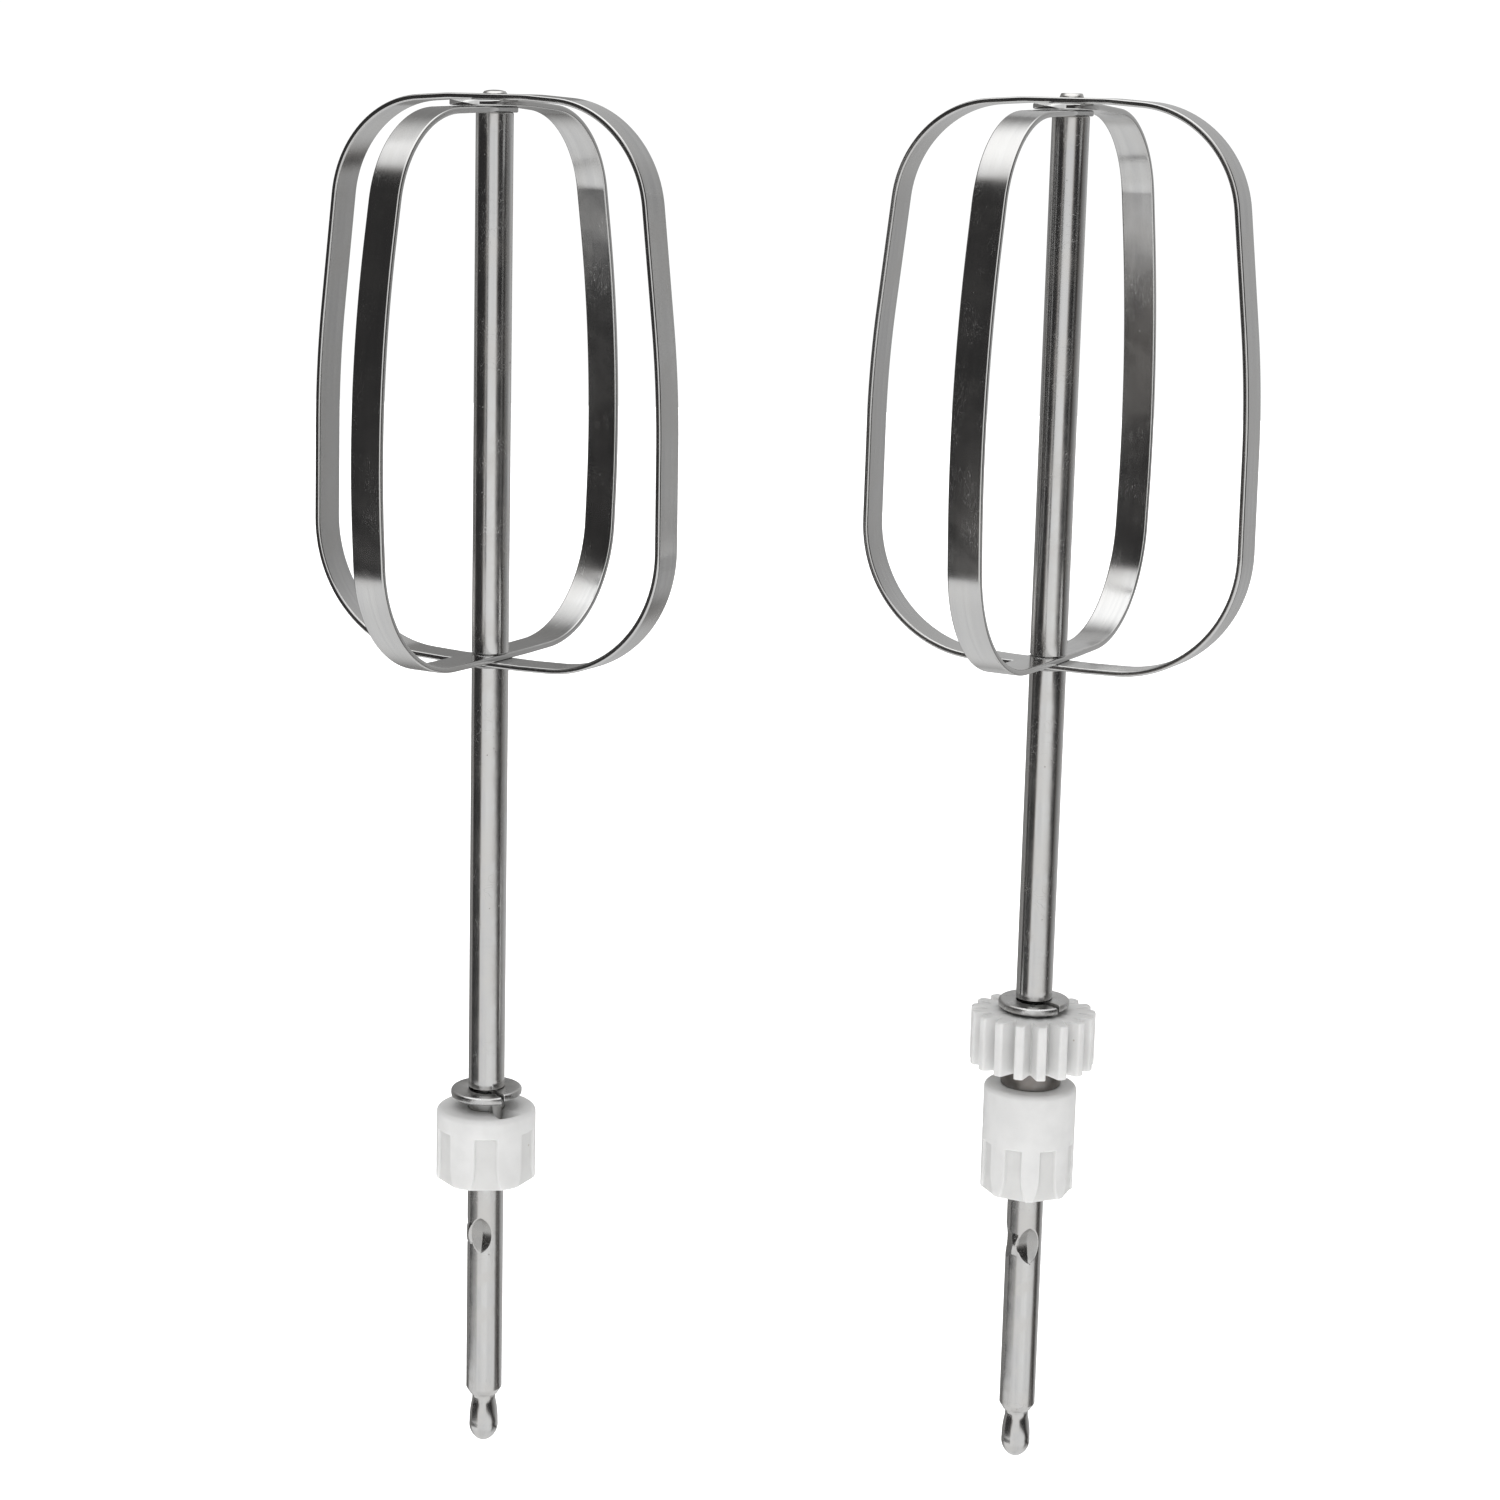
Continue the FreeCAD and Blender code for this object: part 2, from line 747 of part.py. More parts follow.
for item in doc.Objects:
    if "Invalid" in item.State or "Error" in item.State:
        raise RuntimeError(f"{item.Name} ({item.Label}) is {item.State}")
os.makedirs("parts", exist_ok=True)
for body in nodes:
    shape = body.Shape
    if shape.isNull() or not shape.isValid() or len(shape.Solids) != 1:
        raise RuntimeError(f"{body.Label} is not one sound solid")
    shape.exportStep(f"parts/{body.Label}.step")
    box = shape.BoundBox
    print(f"{body.Label:22s} {shape.Volume:9.2f} mm3  x {box.XMin:7.2f} {box.XMax:7.2f}"
          f"  y {box.YMin:7.2f} {box.YMax:7.2f}  z {box.ZMin:7.2f} {box.ZMax:7.2f}")
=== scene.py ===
import bpy
import math
from mathutils import Matrix, Vector, noise


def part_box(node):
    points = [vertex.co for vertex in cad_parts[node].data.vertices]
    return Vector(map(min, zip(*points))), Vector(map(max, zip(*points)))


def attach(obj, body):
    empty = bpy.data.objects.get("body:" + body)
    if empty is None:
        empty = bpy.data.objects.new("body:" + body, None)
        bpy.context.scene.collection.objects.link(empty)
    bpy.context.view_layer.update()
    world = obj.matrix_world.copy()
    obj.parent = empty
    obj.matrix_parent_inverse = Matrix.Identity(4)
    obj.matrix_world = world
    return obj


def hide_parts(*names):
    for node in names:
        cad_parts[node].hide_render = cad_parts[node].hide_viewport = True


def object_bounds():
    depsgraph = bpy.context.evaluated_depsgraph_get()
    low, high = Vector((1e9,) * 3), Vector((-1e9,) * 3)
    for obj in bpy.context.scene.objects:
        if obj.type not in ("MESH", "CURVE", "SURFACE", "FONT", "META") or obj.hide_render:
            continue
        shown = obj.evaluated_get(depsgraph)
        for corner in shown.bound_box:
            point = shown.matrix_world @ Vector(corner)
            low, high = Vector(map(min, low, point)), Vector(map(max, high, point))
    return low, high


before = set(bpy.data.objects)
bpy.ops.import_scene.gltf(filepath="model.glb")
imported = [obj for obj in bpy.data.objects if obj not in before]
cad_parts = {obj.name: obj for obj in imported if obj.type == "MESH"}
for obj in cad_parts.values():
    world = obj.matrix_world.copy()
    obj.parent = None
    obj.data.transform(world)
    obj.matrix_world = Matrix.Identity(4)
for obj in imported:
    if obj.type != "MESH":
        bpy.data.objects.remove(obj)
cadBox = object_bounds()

mm = 0.001
print("frame loaded:", len(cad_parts), "nodes")


# where things stand, all read from the frame, in millimetres

def nodeBox(node):
    low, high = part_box(node)
    return low / mm, high / mm


def beaterPlace(side):
    tubeLow, tubeHigh = nodeBox(side + "_centre_tube")
    loopLow, loopHigh = nodeBox(side + "_outer_loop")
    shaftLow, shaftHigh = nodeBox(side + "_drive_shaft")
    middle = (tubeLow + tubeHigh) / 2
    return {
        "axis": Vector((middle.x, middle.y, 0)),
        "shoulder": loopLow.z,          # top of the shaft's shoulder, where the cage sits
        "tip": shaftLow.z,
        "head": shaftHigh.z,
        "tube": (tubeLow.z, tubeHigh.z),
        "body": side + "_beater",
        "ringBody": side + "_ring",
    }


places = {side: beaterPlace(side) for side in ("left", "right")}


# small helpers

def addNode(tree, kind, **values):
    node = tree.nodes.new(kind)
    for name, value in values.items():
        setattr(node, name, value)
    return node


def feed(tree, source, node, socket):
    # a node's output socket, or a plain value, into a node's input
    if isinstance(source, bpy.types.NodeSocket):
        tree.links.new(source, node.inputs[socket])
    else:
        node.inputs[socket].default_value = source


def groupSocket(tree, name, inOut, kind, value=None):
    socket = tree.interface.new_socket(name=name, in_out=inOut, socket_type="NodeSocket" + kind)
    if value is not None:
        socket.default_value = value


def fedNode(tree, kind, sources, **values):
    # a new node with its inputs fed, by socket name or number
    node = addNode(tree, kind, **values)
    for socket, source in sources.items():
        feed(tree, source, node, socket)
    return node


def mathNode(tree, what, a, b=None, c=None, clamp=False):
    node = addNode(tree, "ShaderNodeMath", operation=what, use_clamp=clamp)
    for i, value in enumerate((a, b, c)):
        if value is not None:
            feed(tree, value, node, i)
    return node.outputs[0]


def product(tree, a, b, clamp=False):
    return mathNode(tree, "MULTIPLY", a, b, clamp=clamp)


def mapRange(tree, value, low, high, toLow=0.0, toHigh=1.0, kind="SMOOTHSTEP"):
    sources = dict(enumerate((value, low, high, toLow, toHigh)))
    return fedNode(tree, "ShaderNodeMapRange", sources, interpolation_type=kind).outputs[0]


def noiseNode(tree, vector, scale=1.0, detail=2.0, rough=0.5, warp=0.0):
    sources = {"Vector": vector, "Scale": scale, "Detail": detail, "Roughness": rough,
               "Distortion": warp}
    return fedNode(tree, "ShaderNodeTexNoise", sources, noise_dimensions="3D").outputs["Fac"]


def scaled(tree, vector, amounts):
    sources = {0: vector, 1: amounts}
    return fedNode(tree, "ShaderNodeVectorMath", sources, operation="MULTIPLY").outputs[0]


def axesOf(tree, vector):
    # the X, Y and Z of a vector socket
    return fedNode(tree, "ShaderNodeSeparateXYZ", {0: vector}).outputs


def mixColour(tree, factor, first, second, blend="MIX"):
    # a colour mix takes its two colours at sockets 6 and 7, and gives its colour at socket 2
    sources = {0: factor, 6: first, 7: second}
    return fedNode(tree, "ShaderNodeMix", sources, data_type="RGBA", blend_type=blend).outputs[2]


def bumpInto(tree, shader, height):
    # heights are in millimetres
    bump = fedNode(tree, "ShaderNodeBump", {"Strength": 1.0, "Distance": mm, "Height": height})
    feed(tree, bump.outputs[0], shader, "Normal")


# shader groups, built once and placed in each material with its own values

def newShaderGroup(name, inputs, outputs):
    tree = bpy.data.node_groups.new(name, "ShaderNodeTree")
    for label, kind, value in inputs:
        groupSocket(tree, label, "INPUT", kind, value)
    for label, kind in outputs:
        groupSocket(tree, label, "OUTPUT", kind)
    return tree, addNode(tree, "NodeGroupInput"), addNode(tree, "NodeGroupOutput")


grainSizes = {"broadScale": 0.22, "breakScale": 0.35, "breakUp": (0.35, 0.65), "bands": (0.3, 0.7)}


def makeDrawnGrain():
    # fine lines, as drawing or rolling leaves them, long where the stretch is small
    s = grainSizes
    tree, given, out = newShaderGroup(
        "drawnGrain",
        [("Position", "Vector", None), ("Stretch", "Vector", (0.2, 9.0, 0.2)),
         ("Broken", "Float", 0.5)],
        [("Lines", "Float"), ("Bands", "Float")])
    along = given.outputs["Position"]
    drawn = scaled(tree, along, given.outputs["Stretch"])
    fine = noiseNode(tree, drawn, 1.0, 3.0, 0.6)
    broad = noiseNode(tree, drawn, s["broadScale"])
    gap = mapRange(tree, noiseNode(tree, along, s["breakScale"]), *s["breakUp"])
    weight = mathNode(tree, "MULTIPLY_ADD", gap, given.outputs["Broken"],
                      mathNode(tree, "SUBTRACT", 1.0, given.outputs["Broken"]))
    centred = mathNode(tree, "SUBTRACT", fine, 0.5)
    feed(tree, mathNode(tree, "MULTIPLY_ADD", centred, weight, 0.5), out, "Lines")
    feed(tree, mapRange(tree, broad, *s["bands"]), out, "Bands")
    return tree


wearSizes = {
    "hairs": (((0.4, 0.9, 0.2), 0.55), ((-0.7, 0.3, 1.1), 0.8)),        # turn and scale of each set
    "hairStretch": (0.35, 6.0, 1.2), "hairWidth": 0.004,
    "hairPlace": 0.3, "hairShare": (0.52, 0.66),
    "smudgeShare": (0.36, 0.68),
    "pitSquash": (1.0, 1.0, 0.7), "pitScale": 1.7, "pitEdge": (0.16, 0.05),
    "pitPatch": 0.17, "pitPatchShare": (0.54, 0.62), "pitPick": 3.1, "pitShare": (0.5, 0.56),
}


def makeHandlingWear():
    # hairline scratches, soft smudges and small pits, as masks from 0 to 1
    s = wearSizes
    tree, given, out = newShaderGroup(
        "handlingWear",
        [("Position", "Vector", None), ("Scratches", "Float", 0.5), ("Pits", "Float", 0.5),
         ("Smudge Size", "Float", 6.0)],
        [("Scratch", "Float"), ("Smudge", "Float"), ("Pit", "Float")])
    place = given.outputs["Position"]
    hair = None
    for turn, size in s["hairs"]:
        sources = {"Vector": place, "Rotation": turn, "Scale": s["hairStretch"]}
        turned = fedNode(tree, "ShaderNodeMapping", sources, vector_type="POINT")
        lines = noiseNode(tree, turned.outputs[0], size, 1.0)
        away = mathNode(tree, "ABSOLUTE", mathNode(tree, "SUBTRACT", lines, 0.5))
        thin = mapRange(tree, away, s["hairWidth"], 0.0)
        where = mapRange(tree, noiseNode(tree, place, s["hairPlace"] * size, 1.0), *s["hairShare"])
        mark = product(tree, thin, where)
        hair = mark if hair is None else mathNode(tree, "MAXIMUM", hair, mark)
    scratch = product(tree, hair, given.outputs["Scratches"], clamp=True)
    feed(tree, scratch, out, "Scratch")
    size = mathNode(tree, "DIVIDE", 1.0, given.outputs["Smudge Size"])
    smudge = mapRange(tree, noiseNode(tree, place, size, 4.0, 0.6, 0.4), *s["smudgeShare"])
    feed(tree, smudge, out, "Smudge")
    sources = {"Vector": scaled(tree, place, s["pitSquash"]), "Scale": s["pitScale"]}
    dots = fedNode(tree, "ShaderNodeTexVoronoi", sources, feature="F1").outputs
    dot = mapRange(tree, dots["Distance"], *s["pitEdge"])
    patch = mapRange(tree, noiseNode(tree, place, s["pitPatch"]), *s["pitPatchShare"])
    chosen = mapRange(tree, noiseNode(tree, dots["Position"], s["pitPick"], 0.0), *s["pitShare"])
    pit = product(tree, product(tree, dot, patch), chosen)
    feed(tree, product(tree, pit, given.outputs["Pits"], clamp=True), out, "Pit")
    return tree


speckSizes = {"pick": 2.3, "full": 0.75, "most": 0.11, "soft": 0.035}


def makeFineSpecks():
    # dust and moulding specks
    s = speckSizes
    tree, given, out = newShaderGroup(
        "fineSpecks",
        [("Position", "Vector", None), ("Density", "Float", 0.6), ("Share", "Float", 0.62)],
        [("Speck", "Float")])
    sources = {"Vector": given.outputs["Position"], "Scale": given.outputs["Density"]}
    dots = fedNode(tree, "ShaderNodeTexVoronoi", sources, feature="F1").outputs
    size = mapRange(tree, noiseNode(tree, dots["Position"], s["pick"], 0.0),
                    given.outputs["Share"], s["full"], 0.0, s["most"])
    near = mathNode(tree, "SUBTRACT", size, dots["Distance"])
    feed(tree, mapRange(tree, near, 0.0, s["soft"]), out, "Speck")
    return tree


drawnGrain = makeDrawnGrain()
handlingWear = makeHandlingWear()
fineSpecks = makeFineSpecks()


# materials

def newMaterial(name, place, turn=0.0):
    # the returned position is in millimetres about the beater's own axis, turned with the piece
    material = bpy.data.materials.new(name)
    material.use_nodes = True
    tree = material.node_tree
    tree.nodes.clear()
    out = addNode(tree, "ShaderNodeOutputMaterial")
    shader = addNode(tree, "ShaderNodeBsdfPrincipled")
    feed(tree, shader.outputs[0], out, 0)
    coordinates = addNode(tree, "ShaderNodeTexCoord")
    centred = fedNode(tree, "ShaderNodeMapping", {
        "Vector": coordinates.outputs["Object"], "Location": place["axis"] * mm,
        "Rotation": (0, 0, turn), "Scale": (mm, mm, mm)}, vector_type="TEXTURE")
    return material, tree, shader, centred.outputs[0]


def useGroup(tree, group, sources):
    node = addNode(tree, "ShaderNodeGroup", node_tree=group)
    for socket, source in sources.items():
        feed(tree, source, node, socket)
    return node.outputs


markRough = {"Pit": 0.35, "Scratch": 0.2}      # roughness that a mark adds
scoopMask = {"radius": (2.47, 2.4), "height": (2.8, 2.7)}      # where the scoops' painted shade and added roughness fade in


def steelFinish(name, place, look, turn=0.0, isBar=False, struck=None):
    # struck is the height of the scoops, whose faces get painted shade (a darker colour) and more
    # roughness than the drawn bar
    material, tree, shader, position = newMaterial(name, place, turn)
    grainPlace = position
    if isBar:
        # a bar's grain runs along it, so the pattern is drawn out in height
        grainPlace = scaled(tree, position, (1.0, 1.0, look["alongBar"]))
    grain = useGroup(tree, drawnGrain, {
        "Position": grainPlace, "Stretch": look["stretch"], "Broken": look["broken"]})
    wear = useGroup(tree, handlingWear, {
        "Position": position, "Scratches": look["scratches"], "Pits": look["pits"],
        "Smudge Size": look["smudgeSize"]})
    lines = grain["Lines"]
    colour = mixColour(tree, grain["Bands"], look["dark"], look["light"])
    colour = mixColour(tree, wear["Smudge"], colour, look["smudged"])
    colour = mixColour(tree, wear["Pit"], colour, look["pitted"])
    rough = mathNode(tree, "MULTIPLY_ADD", lines, look["lineRough"],
                     look["rough"] - look["lineRough"] / 2)
    if struck is not None:
        level = mathNode(tree, "SUBTRACT", axesOf(tree, position)["Z"], struck)
        across = fedNode(tree, "ShaderNodeVectorMath", {
            0: scaled(tree, position, (1.0, 1.0, 0.0))}, operation="LENGTH")
        pressed = product(
            tree, mapRange(tree, across.outputs["Value"], *scoopMask["radius"]),
            mapRange(tree, mathNode(tree, "ABSOLUTE", level), *scoopMask["height"]))
        # painted shade: the scoop faces are darkened, and below they are also made rougher
        scoopShaded = mixColour(tree, 1.0, colour, look["pressed"], "MULTIPLY")
        colour = mixColour(tree, pressed, colour, scoopShaded)
        rough = mathNode(tree, "MULTIPLY_ADD", pressed, look["pressedRough"], rough)
    feed(tree, colour, shader, "Base Color")
    for mark, added in dict({"Smudge": look["smudgeRough"]}, **markRough).items():
        rough = mathNode(tree, "MULTIPLY_ADD", wear[mark], added, rough)
    feed(tree, rough, shader, "Roughness")
    shader.inputs["Metallic"].default_value = 1.0
    height = product(tree, lines, look["lineDepth"])
    height = mathNode(tree, "MULTIPLY_ADD", wear["Scratch"], -look["scratchDepth"], height)
    height = mathNode(tree, "MULTIPLY_ADD", wear["Pit"], -look["pitDepth"], height)
    dent = noiseNode(tree, position, look["dentScale"])
    bumpInto(tree, shader, mathNode(tree, "MULTIPLY_ADD", dent, look["dentDepth"], height))
    return material


stripLook = {
    "dark": (0.57, 0.57, 0.57, 1), "light": (0.63, 0.63, 0.625, 1),
    "smudged": (0.6, 0.595, 0.585, 1), "pitted": (0.22, 0.2, 0.18, 1),
    "stretch": (0.12, 6.0, 0.12), "broken": 0.5,
    "rough": 0.15, "lineRough": 0.06, "smudgeRough": 0.06, "smudgeSize": 9.0,
    "scratches": 0.6, "pits": 0.3, "lineDepth": 0.0015, "scratchDepth": 0.004, "pitDepth": 0.01,
    "dentScale": 0.12, "dentDepth": 0.03,
}
barLook = {
    "dark": (0.56, 0.56, 0.56, 1), "light": (0.68, 0.68, 0.675, 1),
    "smudged": (0.63, 0.62, 0.605, 1), "pitted": (0.2, 0.18, 0.16, 1),
    "stretch": (3.2, 3.2, 1.0), "alongBar": 0.06, "broken": 0.6,
    "rough": 0.17, "lineRough": 0.12, "smudgeRough": 0.06, "smudgeSize": 5.0,
    "scratches": 0.9, "pits": 0.9, "lineDepth": 0.004, "scratchDepth": 0.006, "pitDepth": 0.03,
    "dentScale": 0.3, "dentDepth": 0.015,
    # the first colour here is painted shade for the scoop faces; the value after it is extra
    # roughness there
    "pressed": (0.68, 0.68, 0.675, 1), "pressedRough": 0.06,
}
ringLook = {
    "dark": (0.44, 0.44, 0.44, 1), "light": (0.66, 0.66, 0.655, 1),
    "smudged": (0.55, 0.545, 0.53, 1), "pitted": (0.12, 0.11, 0.1, 1),
    "stretch": (0.9, 0.9, 1.6), "alongBar": 1.0, "broken": 0.5,
    "rough": 0.27, "lineRough": 0.14, "smudgeRough": 0.1, "smudgeSize": 2.2,
    "scratches": 1.0, "pits": 1.0, "lineDepth": 0.02, "scratchDepth": 0.012, "pitDepth": 0.03,
    "dentScale": 0.9, "dentDepth": 0.05,
}
washerLook = dict(ringLook, dark=(0.2, 0.19, 0.185, 1), light=(0.34, 0.33, 0.32, 1),
                  smudged=(0.26, 0.24, 0.225, 1))
plasticLook = {
    "clean": (0.68, 0.68, 0.675, 1), "handled": (0.635, 0.635, 0.63, 1),
    # the recess colour is painted shade, multiplied onto walls that lie further in
    "speck": (0.36, 0.3, 0.25, 1), "paintedRecessShade": (0.93, 0.93, 0.925, 1),
    "recessFade": (0.12, 0.42), "wallFade": (0.7, 0.3),
    "cloudScale": 0.22, "cloudShare": (0.35, 0.7), "speckStrength": 0.7, "tinyStrength": 0.45,
    "specks": {"Density": 0.62, "Share": 0.6}, "tinySpecks": {"Density": 1.9, "Share": 0.64},
    "rough": 0.38, "roughSpread": 0.12, "grainScale": 7.0, "grainDepth": 0.006,
    "waveScale": 0.45, "waveDepth": 0.03,
    "shader": {"Subsurface Weight": 0.18, "Subsurface Radius": (1.0, 0.95, 0.9),
               "Subsurface Scale": 0.0012, "IOR": 1.49},
}


def plasticFinish(name, place, look, crest):
    # side walls that lie further in than the crest radius get painted shade: their colour is
    # darkened
    material, tree, shader, position = newMaterial(name, place)
    cloud = noiseNode(tree, position, look["cloudScale"], 3.0, 0.55)
    specks, tiny = (useGroup(tree, fineSpecks, dict(look[kind], Position=position))
                    for kind in ("specks", "tinySpecks"))
    handled = mapRange(tree, cloud, *look["cloudShare"])
    colour = mixColour(tree, handled, look["clean"], look["handled"])
    axes = axesOf(tree, position)
    squares = [product(tree, axes[name], axes[name]) for name in "XY"]
    radius = mathNode(tree, "SQRT", mathNode(tree, "ADD", *squares))
    facing = addNode(tree, "ShaderNodeNewGeometry").outputs["True Normal"]
    upright = mathNode(tree, "ABSOLUTE", axesOf(tree, facing)["Z"])
    wall = mapRange(tree, upright, *look["wallFade"])
    low = mapRange(tree, radius, *(crest - fade for fade in look["recessFade"]))
    # painted shade: walls further in than the crest radius are darkened, as if shadowed in the
    # flutes and valleys
    colour = mixColour(tree, product(tree, wall, low), colour,
                       mixColour(tree, 1.0, colour, look["paintedRecessShade"], "MULTIPLY"))
    marks = mathNode(tree, "MAXIMUM", specks[0],
                     product(tree, tiny[0], look["tinyStrength"]))
    marks = product(tree, marks, look["speckStrength"])
    feed(tree, mixColour(tree, marks, colour, look["speck"]), shader, "Base Color")
    rough = mathNode(tree, "MULTIPLY_ADD", cloud, look["roughSpread"], look["rough"])
    feed(tree, rough, shader, "Roughness")
    texture = noiseNode(tree, position, look["grainScale"], 2.0, 0.6)
    waves = noiseNode(tree, position, look["waveScale"], 1.0)
    height = product(tree, texture, look["grainDepth"])
    bumpInto(tree, shader, mathNode(tree, "MULTIPLY_ADD", waves, look["waveDepth"], height))
    for socket, value in look["shader"].items():
        shader.inputs[socket].default_value = value
    return material


print("materials ready")


# mesh helpers

def newObject(name, mesh):
    piece = bpy.data.objects.new(name, mesh)
    bpy.context.scene.collection.objects.link(piece)
    return piece


def gridMesh(name, rows, place, closeRows=False, closeColumns=True, ends="poles"):
    # rows of points about the beater's axis in millimetres, anticlockwise, from the lowest up
    points, faces, starts = [], [], []
    for row in rows:
        starts.append(len(points))
        points += [(Vector(p) + place["axis"]) * mm for p in row]
    count = len(rows[0])
    lastColumn = count if closeColumns else count - 1
    lastRow = len(rows) if closeRows else len(rows) - 1
    for i in range(lastRow):
        low, high = starts[i], starts[(i + 1) % len(rows)]
        for j in range(lastColumn):
            k = (j + 1) % count
            faces.append((low + j, low + k, high + k, high + j))
    if not closeRows and ends == "poles":
        for start, flip in ((starts[0], True), (starts[-1], False)):
            ring = points[start:start + count]
            pole = len(points)
            points.append(sum(ring, Vector()) / count)
            for j in range(count):
                k = (j + 1) % count
                pair = (start + k, start + j) if flip else (start + j, start + k)
                faces.append(pair + (pole,))
    if closeRows and not closeColumns and ends == "poles":
        faces.append(list(starts))
        faces.append([start + count - 1 for start in reversed(starts)])
    mesh = bpy.data.meshes.new(name)
    mesh.from_pydata([tuple(p) for p in points], [], faces)
    mesh.validate()
    mesh.shade_smooth()
    return mesh


mostOfRun = 0.45        # share of a straight run that one corner's round may take


def softCorners(profile, closed=False):
    # profile points are (radius, height), then the corner's round and its steps where it has them
    soft = []
    count = len(profile)
    for i, point in enumerate(profile):
        here = Vector(point[:2])
        size = point[2] if len(point) > 2 else 0.0
        inner = closed or 0 < i < count - 1
        if not size or not inner:
            soft.append(tuple(here))
            continue
        before = Vector(profile[i - 1][:2]) - here
        after = Vector(profile[(i + 1) % count][:2]) - here
        half = before.angle(after) / 2
        reach = min(size / math.tan(half), mostOfRun * before.length, mostOfRun * after.length)
        radius = reach * math.tan(half)
        a, b = before.normalized(), after.normalized()
        centre = here + (a + b).normalized() * (radius / math.sin(half))
        first, last = here + a * reach - centre, here + b * reach - centre
        steps = point[3] if len(point) > 3 else 4
        for k in range(steps + 1):
            turnBy = first.angle_signed(last) * k / steps
            spun = Matrix.Rotation(-turnBy, 2) @ first
            soft.append(tuple(centre + spun))
    return soft


def bowedRun(start, finish, radius, steps):
    # points after start up to finish, on an arc that bows away from the axis
    a, b = Vector(start), Vector(finish)
    half = (b - a).length / 2
    along = (b - a).normalized()
    inward = Vector((-along.y, along.x))
    centre = (a + b) / 2 + inward * math.sqrt(radius ** 2 - half ** 2)
    first, last = a - centre, b - centre
    sweep = first.angle_signed(last)
    return [tuple(centre + Matrix.Rotation(-sweep * k / steps, 2) @ first)
            for k in range(1, steps + 1)]


def evenAngles(count):
    return [2 * math.pi * j / count for j in range(count)]


def lathe(profile, angles, shape=None):
    rows = []
    for radius, height in profile:
        row = []
        for angle in angles:
            r, z = shape(angle, radius, height) if shape else (radius, height)
            row.append((r * math.cos(angle), r * math.sin(angle), z))
        rows.append(row)
    return rows


def plainMesh(piece):
    # the evaluated shape as a plain mesh, with the modifiers gone
    bpy.context.view_layer.update()
    graph = bpy.context.evaluated_depsgraph_get()
    mesh = bpy.data.meshes.new_from_object(piece.evaluated_get(graph))
    mesh.name = piece.name
    piece.modifiers.clear()
    piece.data = mesh
    return piece


def flatFaces(piece):
    # large faces keep their own normals, so that only the small rounds shade as rounds
    weighted = piece.modifiers.new("flatFaces", "WEIGHTED_NORMAL")
    weighted.mode = "FACE_AREA"
    weighted.weight = 80
    return piece


def hand(piece, body, node, material):
    plainMesh(piece)
    piece.data.materials.clear()
    piece.data.materials.append(material)
    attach(piece, body)
    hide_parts(node)
    return piece


def smooth(value):
    t = min(max(value, 0.0), 1.0)
    return t * t * (3 - 2 * t)


# geometry node trees

def newShapeTree(name, inputs):
    tree = bpy.data.node_groups.new(name, "GeometryNodeTree")
    tree.is_modifier = True
    groupSocket(tree, "Geometry", "INPUT", "Geometry")
    for label, kind, value in inputs:
        groupSocket(tree, label, "INPUT", kind, value)
    groupSocket(tree, "Geometry", "OUTPUT", "Geometry")
    return tree, addNode(tree, "NodeGroupInput"), addNode(tree, "NodeGroupOutput")


def finishTree(tree, geometry, given, out):
    smoothed = fedNode(tree, "GeometryNodeSetShadeSmooth", {0: geometry})
    real = fedNode(tree, "GeometryNodeRealizeInstances", {0: smoothed.outputs[0]})
    painted = fedNode(tree, "GeometryNodeSetMaterial", {
        0: real.outputs[0], "Material": given.outputs["Material"]})
    feed(tree, painted.outputs[0], out, 0)
    return tree


def makeBentStrip():
    # a flat strip swept along a path whose corners are bent to the radius stored on each
    tree, given, out = newShapeTree("bentStrip", [
        ("Width", "Float", 0.0047), ("Thickness", "Float", 0.0008),
        ("Edge Round", "Float", 0.00025), ("Across", "Vector", (0, 1, 0)),
        ("Bend Steps", "Int", 24), ("Edge Steps", "Int", 4),
        ("Material", "Material", None)])
    use = given.outputs
    curve = fedNode(tree, "GeometryNodeMeshToCurve", {0: use["Geometry"]})
    radius = fedNode(tree, "GeometryNodeInputNamedAttribute", {"Name": "bendRadius"},
                     data_type="FLOAT")
    bent = fedNode(tree, "GeometryNodeFilletCurve", {
        "Curve": curve.outputs[0], "Count": use["Bend Steps"],
        "Radius": radius.outputs["Attribute"]}, mode="POLY")
    facing = fedNode(tree, "GeometryNodeSetCurveNormal", {
        "Curve": bent.outputs[0], "Normal": use["Across"]}, mode="FREE")
    section = fedNode(tree, "GeometryNodeCurvePrimitiveQuadrilateral", {
        "Width": use["Width"], "Height": use["Thickness"]}, mode="RECTANGLE")
    eased = fedNode(tree, "GeometryNodeFilletCurve", {
        "Curve": section.outputs[0], "Count": use["Edge Steps"], "Radius": use["Edge Round"]},
        mode="POLY")
    swept = fedNode(tree, "GeometryNodeCurveToMesh", {
        "Curve": facing.outputs[0], "Profile Curve": eased.outputs[0], "Fill Caps": True})
    return finishTree(tree, swept.outputs[0], given, out)


